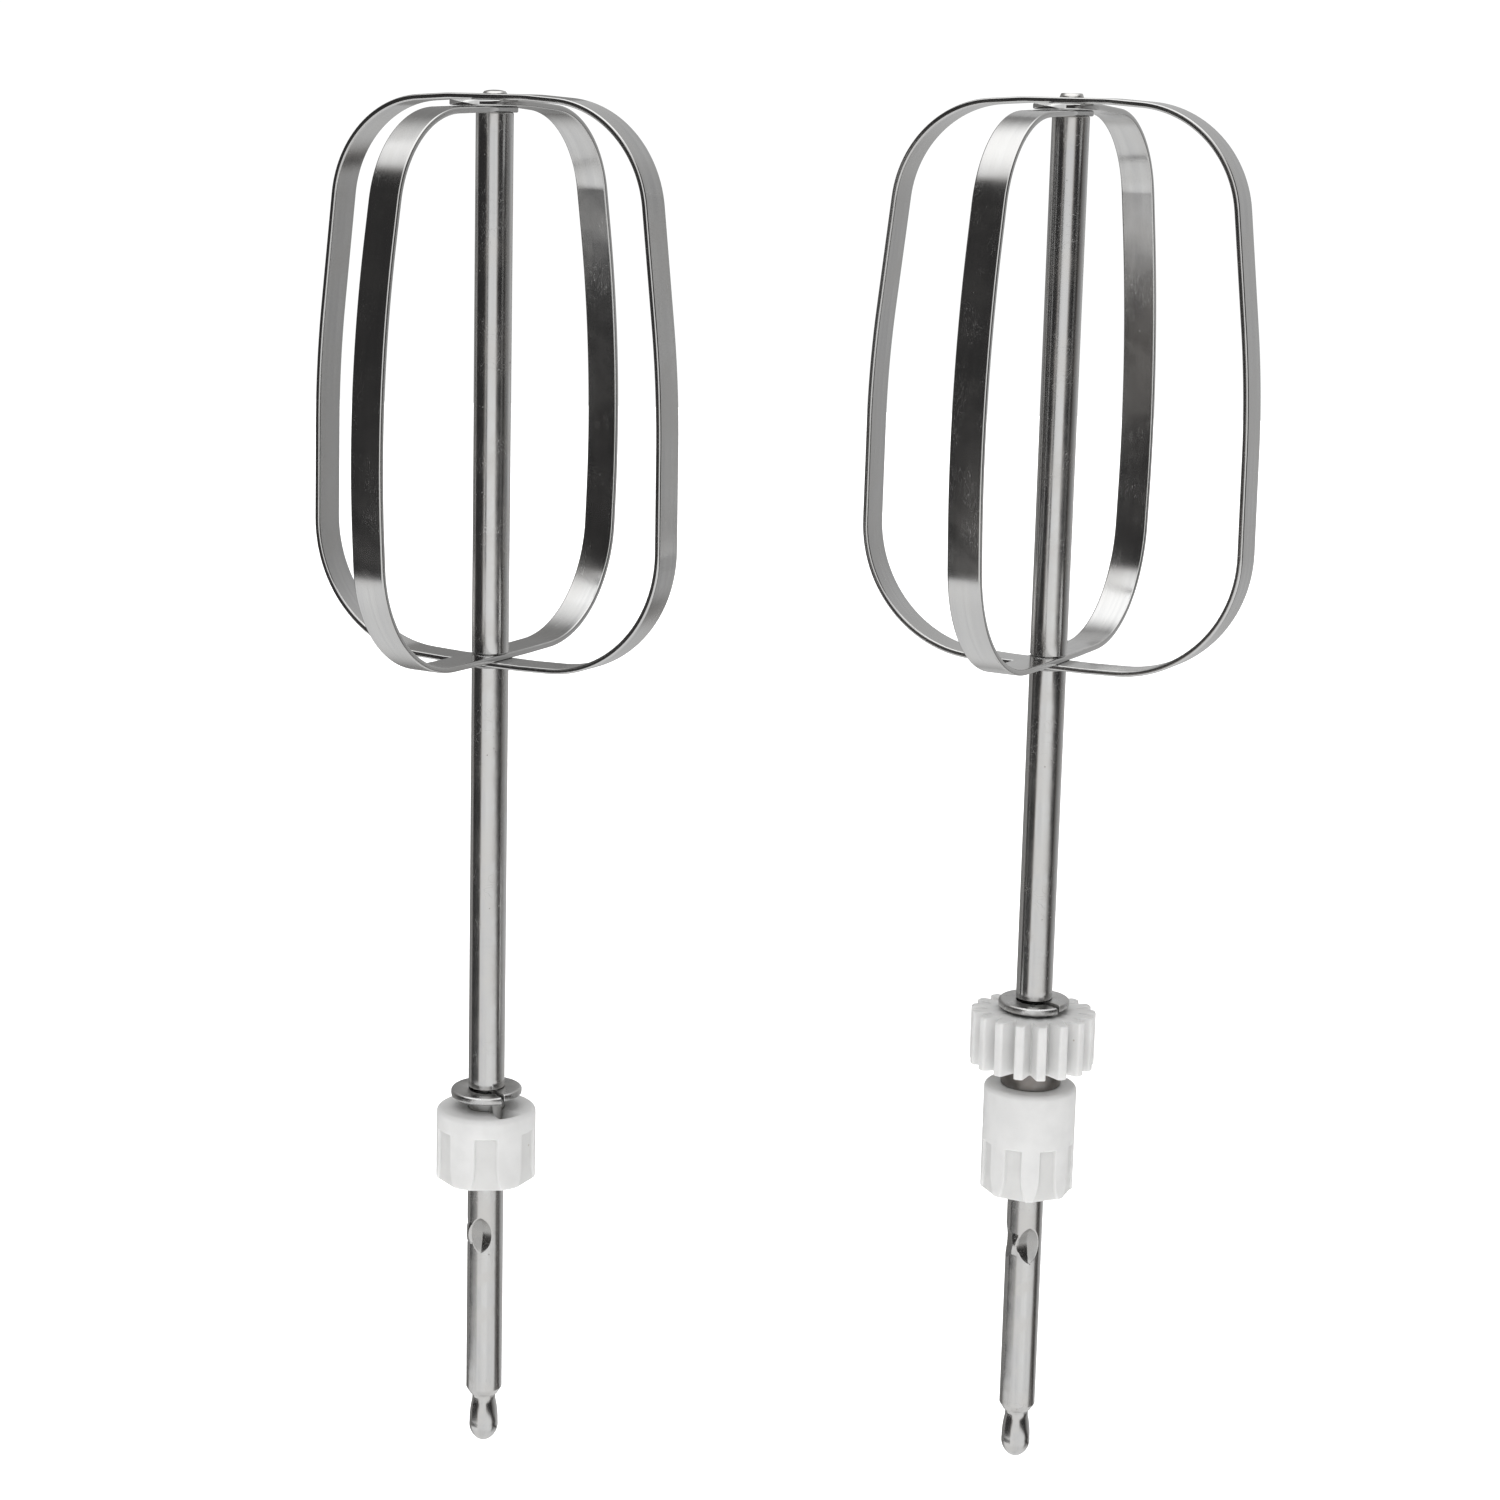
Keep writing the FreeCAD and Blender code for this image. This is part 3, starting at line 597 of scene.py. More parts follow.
def makeRoundOfSectors():
    # one sector repeated about an upright axis and welded into a closed body
    tree, given, out = newShapeTree("roundOfSectors", [
        ("Count", "Int", 8), ("Turn", "Float", 0.0), ("Axis", "Vector", (0, 0, 0)),
        ("Weld", "Float", 2e-6), ("Material", "Material", None)])
    use = given.outputs
    points = fedNode(tree, "GeometryNodePoints", {"Count": use["Count"], "Position": use["Axis"]})
    index = addNode(tree, "GeometryNodeInputIndex")
    step = mathNode(tree, "DIVIDE", 2 * math.pi, use["Count"])
    angle = mathNode(tree, "MULTIPLY_ADD", index.outputs[0], step, use["Turn"])
    euler = fedNode(tree, "ShaderNodeCombineXYZ", {"Z": angle})
    spun = fedNode(tree, "FunctionNodeEulerToRotation", {0: euler.outputs[0]})
    placed = fedNode(tree, "GeometryNodeInstanceOnPoints", {
        "Points": points.outputs[0], "Instance": use["Geometry"], "Rotation": spun.outputs[0]})
    real = fedNode(tree, "GeometryNodeRealizeInstances", {0: placed.outputs[0]})
    weld = fedNode(tree, "GeometryNodeMergeByDistance", {
        "Geometry": real.outputs[0], "Distance": use["Weld"]})
    return finishTree(tree, weld.outputs[0], given, out)


bentStrip = makeBentStrip()
roundOfSectors = makeRoundOfSectors()


def shapeWith(piece, tree, values):
    modifier = piece.modifiers.new(tree.name, "NODES")
    modifier.node_group = tree
    for item in tree.interface.items_tree:
        if item.item_type == "SOCKET" and item.in_out == "INPUT" and item.name in values:
            modifier[item.identifier] = values[item.name]
    return piece


# the strip cages

cageSizes = {
    "width": 4.7, "thick": 0.8, "edgeRound": 0.25, "height": 76.0, "inset": 1.0, "lapGap": 0.02,
    "longTail": 7.0, "shortTail": 2.0, "bendSteps": 28, "edgeSteps": 4,
    "crown": (6.0, 24.0),               # reach from the axis, bend radius
    "shoulder": (23.1, 74.5, 14.8),     # reach, height, bend radius
    "side": (27.2, 39.2, 150.0),
    "innerSide": 28.8,
    "corner": (27.5, 1.1, 17.2),
    "foot": (6.0, 12.0),
    "turn": {"left": -30.0, "right": -30.2},
}


def cageRoute(inner):
    s = cageSizes
    half = s["thick"] / 2
    inset = s["inset"] if inner else 0.0
    bottom = 3 * half if inner else half
    top = s["height"] - half - (s["thick"] if inner else 0.0)
    low = top - s["thick"] - s["lapGap"] if inner else top
    right = [
        (s["crown"][0] - inset, top, s["crown"][1]),
        (s["shoulder"][0] - inset, s["shoulder"][1] - inset, s["shoulder"][2] - inset),
        (s["innerSide"] if inner else s["side"][0], s["side"][1], s["side"][2] - inset),
        (s["corner"][0] - inset, s["corner"][1] + (half if inner else 0.0), s["corner"][2] - inset),
        (s["foot"][0], bottom, s["foot"][1]),
    ]
    left = [(-x, z, r) for x, z, r in reversed(right)]
    left[-1] = (left[-1][0], low, left[-1][2])
    if inner:
        return [(-s["longTail"], top, 0)] + right + left + [(s["shortTail"], low, 0)]
    return right + left


def makeCage(side, inner):
    s = cageSizes
    place = places[side]
    turn = math.radians(s["turn"][side] + (90 if inner else 0))
    route = cageRoute(inner)
    points = []
    for x, z, r in route:
        along = Vector((x * math.cos(turn), x * math.sin(turn), place["shoulder"] + z))
        points.append((place["axis"] + along) * mm)
    count = len(points)
    edges = [(i, i + 1) for i in range(count - 1)] + ([] if inner else [(count - 1, 0)])
    name = f"{side}{'Inner' if inner else 'Outer'}Strip"
    mesh = bpy.data.meshes.new(name)
    mesh.from_pydata(points, edges, [])
    bend = mesh.attributes.new("bendRadius", "FLOAT", "POINT")
    for i, corner in enumerate(route):
        bend.data[i].value = corner[2] * mm
    node = f"{side}_{'inner' if inner else 'outer'}_loop"
    material = steelFinish(name + "Steel", place, stripLook, turn)
    piece = shapeWith(newObject(name, mesh), bentStrip, {
        "Width": s["width"] * mm, "Thickness": s["thick"] * mm, "Edge Round": s["edgeRound"] * mm,
        "Across": (-math.sin(turn), math.cos(turn), 0.0), "Bend Steps": s["bendSteps"],
        "Edge Steps": s["edgeSteps"], "Material": material})
    flatFaces(piece)
    return hand(piece, place["body"], node, material)


for side in places:
    for inner in (False, True):
        makeCage(side, inner)
print("cages ready")


# drive shafts

shaftSizes = {
    "radius": 2.5, "chamfer": 0.9, "chamferInset": 0.55, "neck": 1.65, "neckLength": 1.1,
    "bulb": 2.0, "bulbDrop": 4.4, "tip": 0.55, "tipDrop": 7.1,
    "upperRound": 14.0, "lowerRound": 2.6,
    "groove": 2.3, "groovePlay": 0.1, "tenon": 1.3, "head": 1.6, "cageHeight": 76.0,
    "earWidth": 1.1, "earLength": 4.6, "earProud": 0.3, "earRoot": 0.5,
    "keyLength": 3.9, "keyHalfWidth": 0.85, "keyPoint": 2.4, "keySoft": 0.16,
    "keyPower": 0.7, "keyRise": 2.5,
    "earSoft": (0.09, 0.14),            # how far the ear's side runs out, and over what width
    "scoopDepth": 1.0, "scoopLength": 5.2, "scoopHalfWidth": 3.0, "scoopSpread": 94.0,
    "scoopRoot": 0.0006, "clear": 99.0,
    "bevel": 0.22, "edge": 0.04,
    "headEdge": 0.08, "domePower": 2.2, "flatRadius": 1.1, "flatFade": 0.5,
    "angles": 288, "bulbSteps": (12, 10), "earSteps": 64, "keySteps": 26, "headSteps": 9,
    # key is how far it lies below the shoulder, and its turn
    "left": {"earDrop": 80.65, "earTurn": -148.0, "key": (63.2, -51.0),
             "dome": 0.5, "flatHead": False},
    "right": {"earDrop": 81.95, "earTurn": -125.0, "key": None,
              "dome": 0.12, "flatHead": True},
}


def angleFrom(angle, turn):
    return (angle - math.radians(turn) + math.pi) % (2 * math.pi) - math.pi


def ridgeRadius(angle, z, middle, turn):
    # radius of the swaged ear with an arched crest and soft shoulders, 0 clear of it
    s = shaftSizes
    half, rise = s["earLength"] / 2, s["earProud"] + s["earRoot"]
    off = angleFrom(angle, turn)
    if abs(z - middle) >= half or abs(off) > 0.6:
        return 0.0
    arc = (half ** 2 + rise ** 2) / (2 * rise)
    crest = s["radius"] + s["earProud"] - arc + math.sqrt(arc ** 2 - (z - middle) ** 2)
    past, over = s["earSoft"]
    keep = smooth((s["earWidth"] / 2 + past - abs(crest * math.sin(off))) / over)
    return crest * keep + (1 - keep) * min(crest, s["radius"])


def keyRadius(angle, z, low, turn):
    # radius of the key under the ring: a low flat ridge that ends in a point
    s = shaftSizes
    if z <= low:
        return 0.0
    share = min((z - low) / s["keyPoint"], 1.0)
    wide = s["keyHalfWidth"] * share ** s["keyPower"]
    off = angleFrom(angle, turn)
    side = abs(s["radius"] * math.sin(off))
    soft = s["keySoft"]
    if side > wide + soft or math.cos(off) < 0:
        return 0.0
    flank = smooth((wide + soft - side) / (2 * soft))
    return s["radius"] + s["earProud"] * flank * smooth(s["keyRise"] * share)


def scoopRadius(angle, z, middle, turn):
    # radius left by one V-edged scoop, or a large number clear of it
    s = shaftSizes
    depth, half = s["scoopDepth"], s["scoopLength"] / 2
    wheel = (half ** 2 + depth ** 2) / (2 * depth)
    rise = abs(z - middle)
    if rise >= half:
        return s["clear"]
    edge = s["radius"] - depth + wheel - math.sqrt(wheel ** 2 - rise ** 2)
    off = angleFrom(angle, turn)
    slope = s["scoopHalfWidth"] / depth
    blunt = math.sqrt(math.sin(off) ** 2 + s["scoopRoot"])      # the V's root is a hair rounded
    down = slope * math.cos(off) - blunt
    return slope * edge / down if down > 0.05 and abs(off) < 1.2 else s["clear"]


def evenStops(low, high, steps):
    return [low + (high - low) * k / steps for k in range(steps + 1)]


def makeShaft(side):
    s = shaftSizes
    own, place = s[side], places[side]
    shoulder, end = place["shoulder"], place["tip"] + s["tipDrop"]
    ringLow, ringHigh = (corner.z for corner in nodeBox(side + "_retaining_ring"))
    earAt = shoulder - own["earDrop"]
    full = s["radius"]
    bulbAt = (s["bulb"], end - s["bulbDrop"])
    profile = [(s["tip"], place["tip"])]
    lowerSteps, upperSteps = s["bulbSteps"]
    profile += bowedRun(profile[-1], bulbAt, s["lowerRound"], lowerSteps)
    profile += bowedRun(bulbAt, (s["neck"], end - s["neckLength"]), s["upperRound"], upperSteps)
    profile += [(s["neck"] - 0.02, end - 0.5, 0.2), (s["neck"] + 0.06, end, 0.05),
                (full - s["chamferInset"], end, 0.06), (full, end + s["chamfer"], 0.18)]
    half = s["scoopLength"] / 2 + 0.1
    stops = evenStops(earAt - half, earAt + half, s["earSteps"])
    if own["key"]:
        keyDrop, keyTurn = own["key"]
        keyLow = shoulder - keyDrop - s["keyLength"] / 2
        keyStops = evenStops(keyLow, keyLow + s["keyLength"], s["keySteps"])
        stops += [z for z in keyStops if z < ringLow - 0.15]
    stops += [end + 6 + k * 2.4 for k in range(5)] + [ringHigh + 1.5 + 5 * k for k in range(9)]
    stops = sorted(z for z in stops if z < ringLow - 0.12 or ringHigh + 1 < z < shoulder - 1)
    profile += [(full, z) for z in stops if z < ringLow]
    grooveLow, grooveHigh = ringLow - s["groovePlay"], ringHigh + s["groovePlay"]
    profile += [(full, grooveLow, s["edge"]), (s["groove"], grooveLow), (s["groove"], grooveHigh),
                (full, grooveHigh, s["edge"])]
    profile += [(full, z) for z in stops if z > ringHigh]
    top = shoulder + s["cageHeight"]
    headHeight = place["head"] - top
    profile += [(full, shoulder - s["bevel"], s["edge"]), (full - s["bevel"], shoulder, 0.03),
                (s["tenon"], shoulder), (s["tenon"], top - 0.02),
                (s["head"] - 0.02, top - 0.02, 0.02),
                (s["head"], top + s["headEdge"] * headHeight, 0.05)]
    for k in range(1, s["headSteps"]):
        inward = 1 - k / s["headSteps"]
        edge = s["head"] * inward
        fall = inward ** s["domePower"]
        if own["flatHead"]:
            fall = smooth((edge - s["flatRadius"]) / s["flatFade"])
        profile.append((edge, top + headHeight * (1 - own["dome"] * fall)))

    def shape(angle, radius, z):
        if abs(radius - full) > 0.01 or z > ringLow:
            return radius, z
        r = max(radius, ridgeRadius(angle, z, earAt, own["earTurn"]))
        if own["key"]:
            r = max(r, keyRadius(angle, z, keyLow, keyTurn))
        for lean in (-0.5, 0.5):
            r = min(r, scoopRadius(angle, z, earAt, own["earTurn"] + lean * s["scoopSpread"]))
        return r, z

    rows = lathe(softCorners(profile), evenAngles(s["angles"]), shape)
    piece = flatFaces(newObject(side + "Shaft", gridMesh(side + "Shaft", rows, place)))
    material = steelFinish(side + "ShaftSteel", place, barLook, isBar=True, struck=earAt)
    return hand(piece, place["body"], side + "_drive_shaft", material)


tubeSizes = {"outer": 2.5, "bore": 1.35, "footBevel": 0.2, "topBevel": 0.12, "firstStop": 2,
             "step": 7.5, "angles": 128}


def makeTube(side):
    s = tubeSizes
    place = places[side]
    low, high = place["tube"]
    outer, bore = s["outer"], s["bore"]
    profile = [(bore, low), (outer - s["footBevel"], low, 0.03),
               (outer, low + s["footBevel"], 0.06)]
    stops = [low + s["firstStop"] + s["step"] * k for k in range(10)]
    profile += [(outer, z) for z in stops if z < high - 1]
    profile += [(outer, high - s["topBevel"], 0.04), (outer - s["topBevel"], high, 0.03),
                (bore, high)]
    rows = lathe(softCorners(profile, True), evenAngles(s["angles"]))
    mesh = gridMesh(side + "Tube", rows, place, closeRows=True)
    piece = flatFaces(newObject(side + "Tube", mesh))
    material = steelFinish(side + "TubeSteel", place, barLook, isBar=True)
    return hand(piece, place["body"], side + "_centre_tube", material)


for side in places:
    makeShaft(side)
    makeTube(side)
print("shafts and tubes ready")


# split rings

ringSizes = {
    "bore": 2.4, "outer": 4.95, "thick": 1.05, "round": 0.36, "splitLean": 0.9, "split": 0.2,
    "start": 1.0, "reach": 5.95, "columns": 176, "splitTurn": {"left": -66.0, "right": -60.0},
    "dent": 0.045, "dentScale": 0.9, "dentPlace": {"left": 7, "right": 31},
}


def makeRing(side):
    # one turn of flattened wire: its two ends pass each other by what the ring's height leaves over
    s = ringSizes
    place = places[side]
    low, high = nodeBox(side + "_retaining_ring")
    rise = high.z - low.z - s["thick"]
    top = low.z + s["thick"]
    profile = softCorners([(s["bore"], low.z, 0.15), (s["outer"], low.z, s["round"], 7),
                           (s["outer"], top, s["round"], 7), (s["bore"], top, 0.2)], True)
    rows = []
    for radius, z in profile:
        outwards = (radius - s["start"]) / (s["reach"] - s["start"])
        lean = math.atan2(s["splitLean"] * outwards, radius)
        gap = s["split"] / 2 / radius
        first = math.radians(s["splitTurn"][side]) + lean + gap
        sweep = 2 * math.pi - 2 * gap
        row = []
        for j in range(s["columns"] + 1):
            share = j / s["columns"]
            angle = first + sweep * share
            spot = Vector((radius * math.cos(angle), radius * math.sin(angle), z))
            dent = noise.noise(spot * s["dentScale"] + Vector((0, 0, s["dentPlace"][side])))
            r = radius - (s["dent"] * (1 + dent) if radius > 3 else 0.0)
            row.append((r * math.cos(angle), r * math.sin(angle), z + rise * (1 - smooth(share))))
        rows.append(row)
    mesh = gridMesh(side + "Ring", rows, place, closeRows=True, closeColumns=False)
    piece = flatFaces(newObject(side + "Ring", mesh))
    material = steelFinish(side + "RingSteel", place, ringLook, isBar=True)
    return hand(piece, place["ringBody"], side + "_retaining_ring", material)


for side in places:
    makeRing(side)


# spacer washer

spacerSizes = {"rim": 4.2, "bore": 2.51, "lowRound": 0.25, "topRound": 0.3, "angles": 128}


def makeSpacer():
    place = places["right"]
    low, high = nodeBox("right_spacer_washer")
    s = spacerSizes
    profile = [(s["bore"], low.z), (s["rim"], low.z, s["lowRound"]),
               (s["rim"], high.z, s["topRound"]), (s["bore"], high.z)]
    rows = lathe(softCorners(profile, True), evenAngles(s["angles"]))
    mesh = gridMesh("rightSpacer", rows, place, closeRows=True)
    piece = flatFaces(newObject("rightSpacer", mesh))
    material = steelFinish("spacerSteel", place, washerLook, isBar=True)
    return hand(piece, place["body"], "right_spacer_washer", material)


makeSpacer()
print("rings and spacer ready")


# moulded collars and bowl gear, each one sector repeated about its shaft

collarSizes = {
    "bore": 2.51, "fluteDepth": 0.55, "splay": 0.16, "rimRound": 0.9, "footRound": 0.25,
    "edgeSoft": 0.07, "flarePower": 2.4, "wallStep": 0.16, "endStep": 0.07,
    "left": {"radius": 6.87, "count": 6, "width": 3.0, "height": 7.4, "turn": -86.0, "flare": 0.7,
             "flareHeight": 3.4, "columns": 72},
    "right": {"radius": 6.42, "count": 8, "width": 2.2, "height": 7.2, "turn": -69.5, "flare": 0.75,
              "flareHeight": 4.2, "columns": 52},
}
sectorPlace = {"axis": Vector((0, 0, 0))}      # a sector is drawn about the origin
notchSizes = {"turn": -51.0, "width": 2.0, "floor": 1.3, "depth": 2.6, "soft": 0.2,
              "from": 1.5, "reach": 4.6, "fade": 0.7, "drawn": 4.5}


def makeCollar(side):
    s = collarSizes
    own, place = s[side], places[side]
    low, high = nodeBox(side + "_drive_collar")
    floor = own["radius"] - s["fluteDepth"]
    fluteTop = low.z + own["height"]
    wallCount = int((own["height"] - 0.6) / s["wallStep"])
    wall = [(own["radius"], low.z + 0.4 + s["wallStep"] * k) for k in range(wallCount)]
    wall += [(own["radius"], fluteTop + s["endStep"] * k) for k in range(-3, 5)]
    wall = sorted(set(wall), key=lambda p: p[1])
    above = [(own["radius"], z) for z in (fluteTop + 0.7, high.z - 1.6) if z < high.z - 1.5]
    profile = [(s["bore"], low.z), (own["radius"], low.z, s["footRound"])] + wall + above
    profile += [(own["radius"], high.z, s["rimRound"], 9), (s["bore"] + 0.9, high.z),
                (s["bore"] + 0.12, high.z - 0.05, 0.05), (s["bore"], high.z - 0.25)]

    def fluted(angle, radius, z):
        if radius < floor or z > fluteTop + 0.3:
            return radius, z
        t = min(max(1 - (z - low.z) / own["flareHeight"], 0.0), 1.0)
        half = own["width"] / 2 + own["flare"] * t ** s["flarePower"]
        side = abs(radius * math.sin(angle))
        soft = s["edgeSoft"]
        inside = smooth((half + s["splay"] - side) / (s["splay"] + soft))
        ended = smooth((fluteTop + 0.1 - z) / 0.2)
        return radius - inside * ended * (radius - min(radius, floor / math.cos(angle))), z

    wide = math.pi / own["count"]
    angles = [-wide + 2 * wide * j / own["columns"] for j in range(own["columns"] + 1)]
    rows = lathe(softCorners(profile, True), angles, fluted)
    mesh = gridMesh(side + "Collar", rows, sectorPlace, closeRows=True, closeColumns=False,
                    ends="open")
    material = plasticFinish(side + "CollarPlastic", place, plasticLook, own["radius"])
    piece = shapeWith(newObject(side + "Collar", mesh), roundOfSectors, {
        "Count": own["count"], "Turn": math.radians(own["turn"]), "Axis": place["axis"] * mm,
        "Material": material})
    plainMesh(piece)
    if side == "left":
        cutNotch(piece, place, high.z)
    return hand(piece, place["body"], side + "_drive_collar", material)


def cutNotch(piece, place, top):
    # the keyway: the wall's upper rows are drawn down between two leaning sides
    n = notchSizes
    turn = math.radians(n["turn"])
    out = Vector((math.cos(turn), math.sin(turn), 0))
    across = Vector((-math.sin(turn), math.cos(turn), 0))
    for vertex in piece.data.vertices:
        spot = vertex.co / mm - place["axis"]
        forward, side = spot.dot(out), abs(spot.dot(across))
        if forward < n["from"] or forward > n["reach"] or spot.z < top - n["drawn"]:
            continue
        reach = smooth((n["reach"] - forward) / n["fade"])
        lean = (n["width"] - n["floor"]) / 2 + 2 * n["soft"]
        deep = n["depth"] * smooth((n["width"] / 2 + n["soft"] - side) / lean)
        share = smooth((spot.z - (top - n["drawn"])) / n["drawn"])
        vertex.co.z -= deep * reach * share * mm


gearSizes = {
    "bore": 2.51, "root": 6.05, "tip": 8.63, "foot": 1.15, "crest": 0.675, "sunk": 0.6,
    "round": 0.4, "count": 17, "turn": -87.0, "topRound": 0.28, "footRound": 0.18,
    "valleyRadius": 6.17, "valley": [(6.2, 1.08), (6.3, 1.03)], "flank": (6.45, 6.8, 7.2, 7.6, 8.0),
    "crestAngles": (18, 36, 54, 72, 90), "topSteps": 5, "footSteps": 4, "rimSpan": 1.5,
    "shadeDepth": 0.7,
}


def toothOutline():
    s = gearSizes
    pitch = math.pi / s["count"]
    inside, near = s["root"] - s["sunk"], s["tip"] - s["round"]
    slope = (s["crest"] - s["foot"]) / (near - inside)
    flank = [(x, s["foot"] + slope * (x - inside)) for x in s["flank"] + (near,)]
    deep = s["valleyRadius"]
    valley = [(deep * math.cos(pitch), deep * math.sin(pitch))] + s["valley"]
    middle = s["crest"] - s["round"]
    turns = [math.radians(a) for a in s["crestAngles"]]
    arc = [(near + s["round"] * math.sin(a), middle + s["round"] * math.cos(a)) for a in turns]
    half = valley + flank + arc
    return [(x, -y) for x, y in half] + [(s["tip"], 0.0)] + [(x, y) for x, y in reversed(half)]


def makeGear():
    s = gearSizes
    place = places["right"]
    low, high = nodeBox("right_bowl_gear")
    outline = toothOutline()
    turns = [math.atan2(y, x) for x, y in outline]

    def ring(share, z, inset=0.0):
        row = []
        for (x, y), turn in zip(outline, turns):
            full = math.hypot(x, y)
            r = s["bore"] + (full - inset - s["bore"]) * share
            row.append((r * math.cos(turn), r * math.sin(turn), z))
        return row

    rows = [ring(0, low.z), ring(0.5, low.z)]
    for k in range(s["footSteps"] + 1):
        a = math.radians(90 * k / s["footSteps"])
        rise, inset = (s["footRound"] * (1 - part) for part in (math.cos(a), math.sin(a)))
        rows.append(ring(1, low.z + rise, inset))
    rows += [ring(1, low.z + s["rimSpan"]), ring(1, high.z - s["rimSpan"])]
    for k in range(s["topSteps"] + 1):
        a = math.radians(90 * k / s["topSteps"])
        drop, inset = (s["topRound"] * (1 - part) for part in (math.sin(a), math.cos(a)))
        rows.append(ring(1, high.z - drop, inset))
    rows += [ring(0.6, high.z), ring(0, high.z)]
    mesh = gridMesh("rightGear", rows, sectorPlace, closeRows=True, closeColumns=False, ends="open")
    # walls further in than the root plus this depth get painted shade in the gear's valleys
    material = plasticFinish("gearPlastic", place, plasticLook, s["root"] + s["shadeDepth"])
    piece = shapeWith(newObject("rightGear", mesh), roundOfSectors, {
        "Count": s["count"], "Turn": math.radians(s["turn"]), "Axis": place["axis"] * mm,
        "Material": material})
    flatFaces(piece)
    return hand(piece, place["body"], "right_bowl_gear", material)


makeCollar("left")
makeCollar("right")
makeGear()
print("collars and gear ready")


# studio: a white surround with two dark side panels that the steel mirrors

studio = {
    "floorDrop": 0.16, "floorSize": 6.0, "floorColour": (0.9, 0.9, 0.9, 1), "floorGlow": 0.75,
    "floorRough": 0.8, "background": 1.05, "strength": 1.0,
    "white": (0.95, 0.95, 0.95, 1), "panel": (0.035, 0.034, 0.034, 1),
    "edge": (0.3, 0.265, 0.24, 1), "rightNear": (0.12, 0.118, 0.116, 1),
    "rightFar": (0.55, 0.55, 0.55, 1), "backLeft": (0.27, 0.268, 0.265, 1),
    "ground": (0.85, 0.85, 0.85, 1), "zenith": (1.6, 1.6, 1.6, 1),
    # where the tones change, in degrees of elevation or of azimuth
    "groundFade": (-50.0, -25.0), "zenithFade": (35.0, 65.0), "horizon": (-42.0, 52.0, 14.0),
    "rightSpread": (80.0, 135.0), "rightFade": (66.0, 84.0), "leftFade": (-108.0, -124.0),
    "leftPanel": {"side": -1.0, "front": 41.0, "start": 15.5, "lean": 3.7, "most": 50.0,
                  "deepFrom": 21.5, "deepLean": 20.0, "wide": 22.0, "back": 113.0},
    "rightPanel": {"side": 1.0, "front": 27.0, "start": 0.0, "lean": 3.8, "most": 120.0,
                   "deepFrom": 20.0, "deepLean": 0.0, "wide": 26.0, "back": 84.0},
    "panelHeight": (-32.0, 40.0, 4.0), "panelFront": (-4.0, 5.0), "rimFront": (-9.0, 1.0),
    "panelBack": (7.0, -7.0),
}


def makeWorld():
    s = studio
    world = bpy.data.worlds.new("studio")
    bpy.context.scene.world = world
    world.use_nodes = True
    tree = world.node_tree
    tree.nodes.clear()
    out = addNode(tree, "ShaderNodeOutputWorld")
    ways = addNode(tree, "ShaderNodeTexCoord")
    x, y, z = axesOf(tree, ways.outputs["Generated"]).values()

    def calc(what, *values):
        return mathNode(tree, what, *values)

    def span(value, low, high, soft):
        up = mapRange(tree, value, low - soft, low + soft)
        down = mapRange(tree, value, high + soft, high - soft)
        return calc("MULTIPLY", up, down)

    # azimuth in degrees from the front, positive to the right; elevation from the horizon
    perRadian = math.degrees(1)
    azimuth = calc("MULTIPLY", calc("ARCTAN2", x, calc("MULTIPLY", y, -1.0)), perRadian)
    elevation = calc("MULTIPLY", calc("ARCSINE", z), perRadian)
    onGround = mapRange(tree, elevation, *s["groundFade"])
    colour = mixColour(tree, onGround, s["ground"], s["white"])
    colour = mixColour(tree, mapRange(tree, elevation, *s["zenithFade"]), colour, s["zenith"])
    aroundHorizon = span(elevation, *s["horizon"])
    further = mapRange(tree, azimuth, *s["rightSpread"], kind="LINEAR")
    rightTone = mixColour(tree, further, s["rightNear"], s["rightFar"])
    rightSide = calc("MULTIPLY", mapRange(tree, azimuth, *s["rightFade"]), aroundHorizon)
    colour = mixColour(tree, rightSide, colour, rightTone)
    leftSide = calc("MULTIPLY", mapRange(tree, azimuth, *s["leftFade"]), aroundHorizon)
    colour = mixColour(tree, leftSide, colour, s["backLeft"])
    below = calc("MAXIMUM", calc("MULTIPLY", elevation, -1.0), 0.0)
    for panel in (s["leftPanel"], s["rightPanel"]):
        # a panel's front edge leans back below the horizon, and more from deepFrom down
        front = calc("MULTIPLY_ADD", below, panel["lean"], panel["start"])
        front = calc("MINIMUM", calc("MAXIMUM", front, panel["front"]), panel["most"])
        deep = calc("MAXIMUM", calc("SUBTRACT", below, panel["deepFrom"]), 0.0)
        front = calc("MULTIPLY_ADD", deep, panel["deepLean"], front)
        back = calc("MAXIMUM", calc("ADD", front, panel["wide"]), panel["back"])
        turned = calc("MULTIPLY", azimuth, panel["side"])
        ahead = calc("SUBTRACT", turned, front)
        until = mapRange(tree, calc("SUBTRACT", turned, back), *s["panelBack"])
        level = calc("MULTIPLY", span(elevation, *s["panelHeight"]), until)
        for fade, tone in ((s["rimFront"], s["edge"]), (s["panelFront"], s["panel"])):
            within = calc("MULTIPLY", mapRange(tree, ahead, *fade), level)
            colour = mixColour(tree, within, colour, tone)
    seen = fedNode(tree, "ShaderNodeBackground", {0: (1.0, 1.0, 1.0, 1), 1: s["background"]})
    lit = fedNode(tree, "ShaderNodeBackground", {0: colour, 1: s["strength"]})
    path = addNode(tree, "ShaderNodeLightPath")
    mix = fedNode(tree, "ShaderNodeMixShader", {
        0: path.outputs["Is Camera Ray"], 1: lit.outputs[0], 2: seen.outputs[0]})
    feed(tree, mix.outputs[0], out, 0)


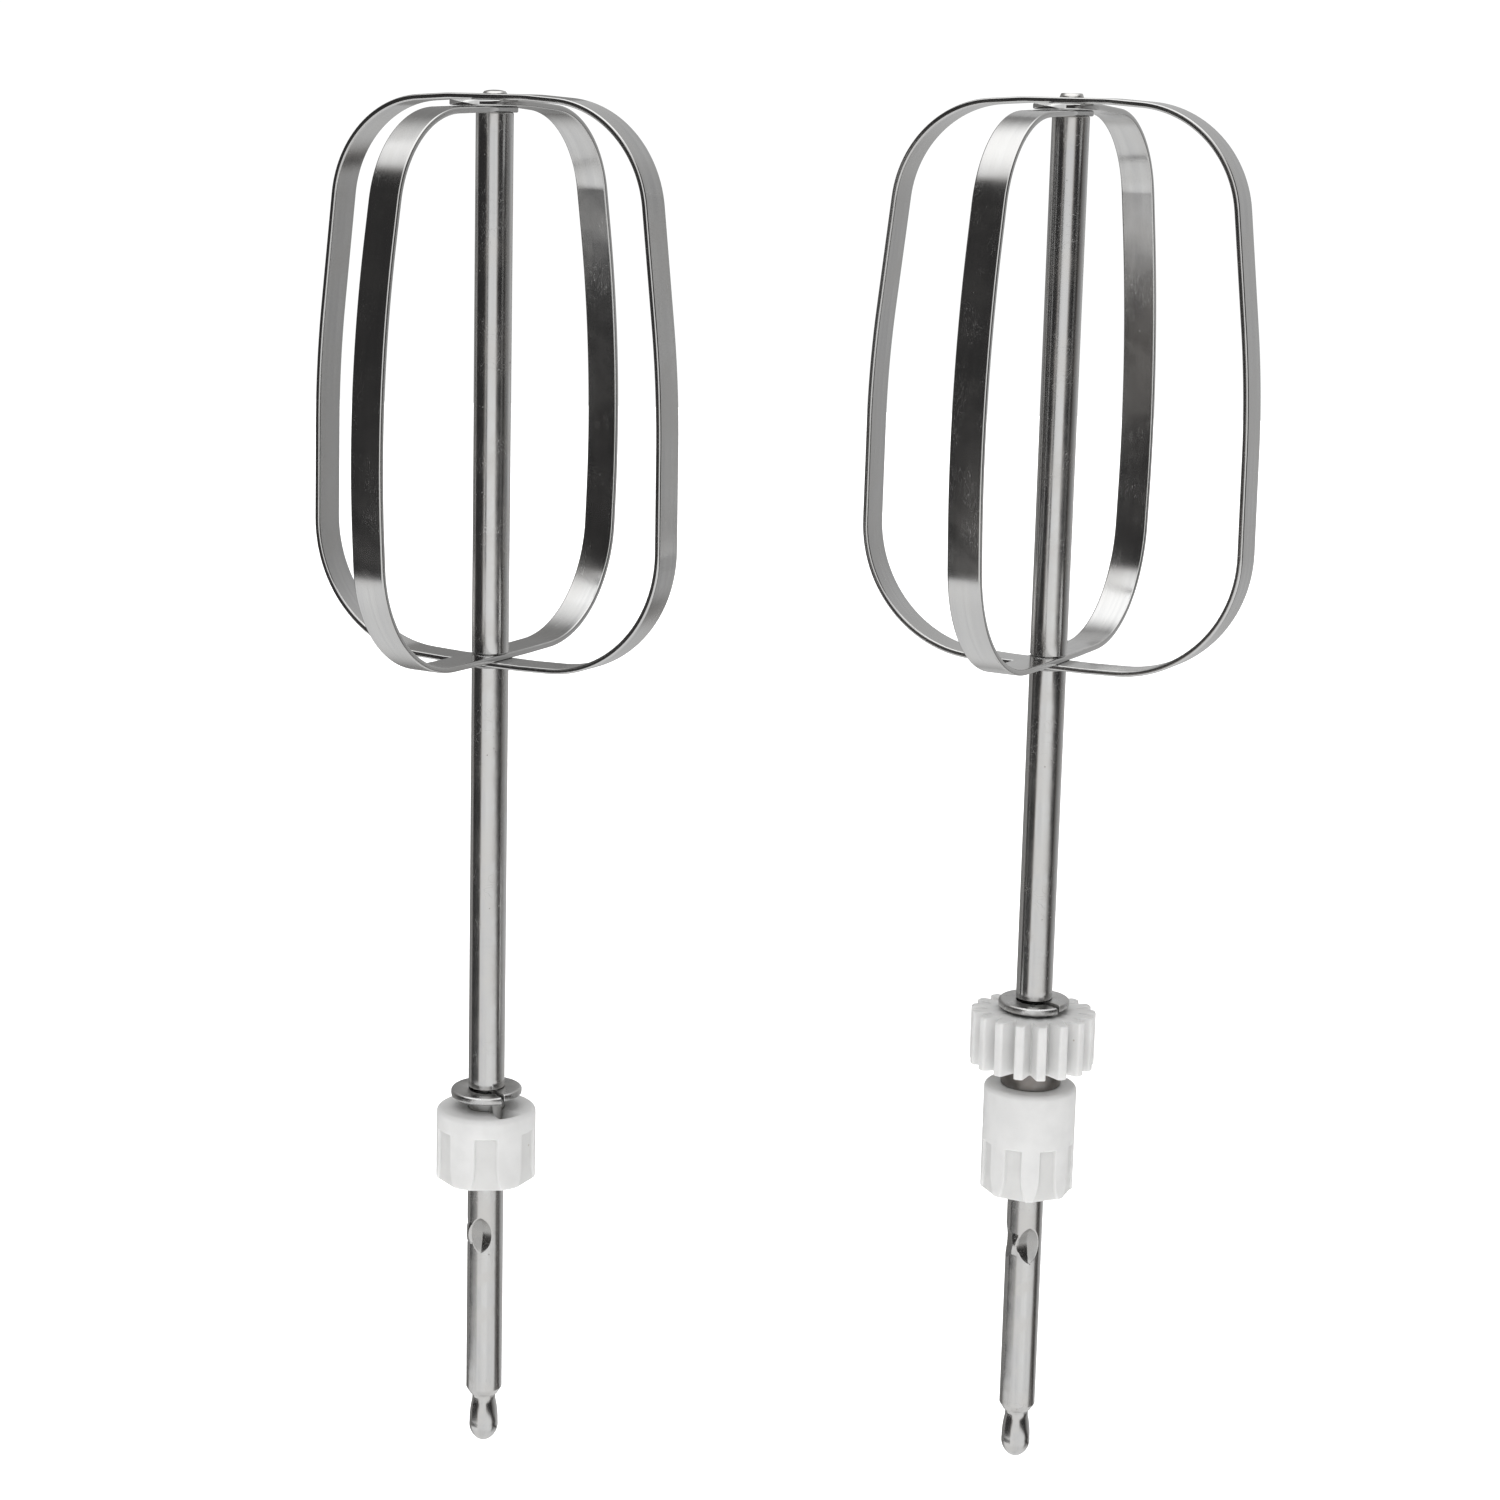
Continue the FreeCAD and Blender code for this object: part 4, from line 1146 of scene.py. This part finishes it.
def makeFloor():
    half = studio["floorSize"] / 2
    z = cadBox[0][2] - studio["floorDrop"]
    mesh = bpy.data.meshes.new("floor")
    corners = [(-half, -half, z), (half, -half, z), (half, half, z), (-half, half, z)]
    mesh.from_pydata(corners, [], [(0, 1, 2, 3)])
    floor = newObject("floor", mesh)
    material = bpy.data.materials.new("paleFloor")
    material.use_nodes = True
    values = {"Base Color": studio["floorColour"], "Roughness": studio["floorRough"],
              "Emission Color": (1, 1, 1, 1), "Emission Strength": studio["floorGlow"]}
    for socket, value in values.items():
        material.node_tree.nodes["Principled BSDF"].inputs[socket].default_value = value
    mesh.materials.append(material)
    floor.visible_glossy = False
    floor.visible_shadow = False


lampSizes = {"place": (-0.25, -0.75, 0.85), "aim": (0.038, 0, 0.09), "size": 0.5, "power": 0.9}


def makeLamp():
    s = lampSizes
    light = bpy.data.lights.new("keyLight", "AREA")
    light.shape = "DISK"
    light.size = s["size"]
    light.energy = s["power"]
    lamp = newObject("keyLight", light)
    lamp.location = s["place"]
    aim = Vector(s["aim"]) - Vector(s["place"])
    lamp.rotation_euler = aim.to_track_quat("-Z", "Y").to_euler()
    lamp.visible_glossy = False


cameraSizes = {
    "place": (29.04, -406.7, 181.0), "tilt": 10.385, "turn": 0.859, "roll": -1.386,
    "lens": 73.29, "sensor": 36.0, "rise": -0.0663, "clipStart": 0.01,
}


def makeCamera():
    c = cameraSizes
    tilt, turn, roll = (math.radians(c[name]) for name in ("tilt", "turn", "roll"))
    level = Vector((math.sin(turn), math.cos(turn), 0))
    ahead = level * math.cos(tilt) - Vector((0, 0, math.sin(tilt)))
    right = Vector((math.cos(turn), -math.sin(turn), 0))
    up = right.cross(ahead)
    rolledRight = right * math.cos(roll) - up * math.sin(roll)
    rolledUp = right * math.sin(roll) + up * math.cos(roll)
    lens = bpy.data.cameras.new("camera")
    lens.lens = c["lens"]
    lens.sensor_width = c["sensor"]
    lens.shift_y = c["rise"]
    lens.clip_start = c["clipStart"]
    camera = newObject("camera", lens)
    turned = Matrix((rolledRight, rolledUp, -ahead)).transposed()
    camera.matrix_world = Matrix.Translation(Vector(c["place"]) * mm) @ turned.to_4x4()
    bpy.context.scene.camera = camera


makeWorld()
makeFloor()
makeLamp()
makeCamera()
bpy.context.scene.view_settings.view_transform = "Standard"
bpy.context.scene.view_settings.look = "None"
print("studio and camera ready")

bpy.context.view_layer.update()
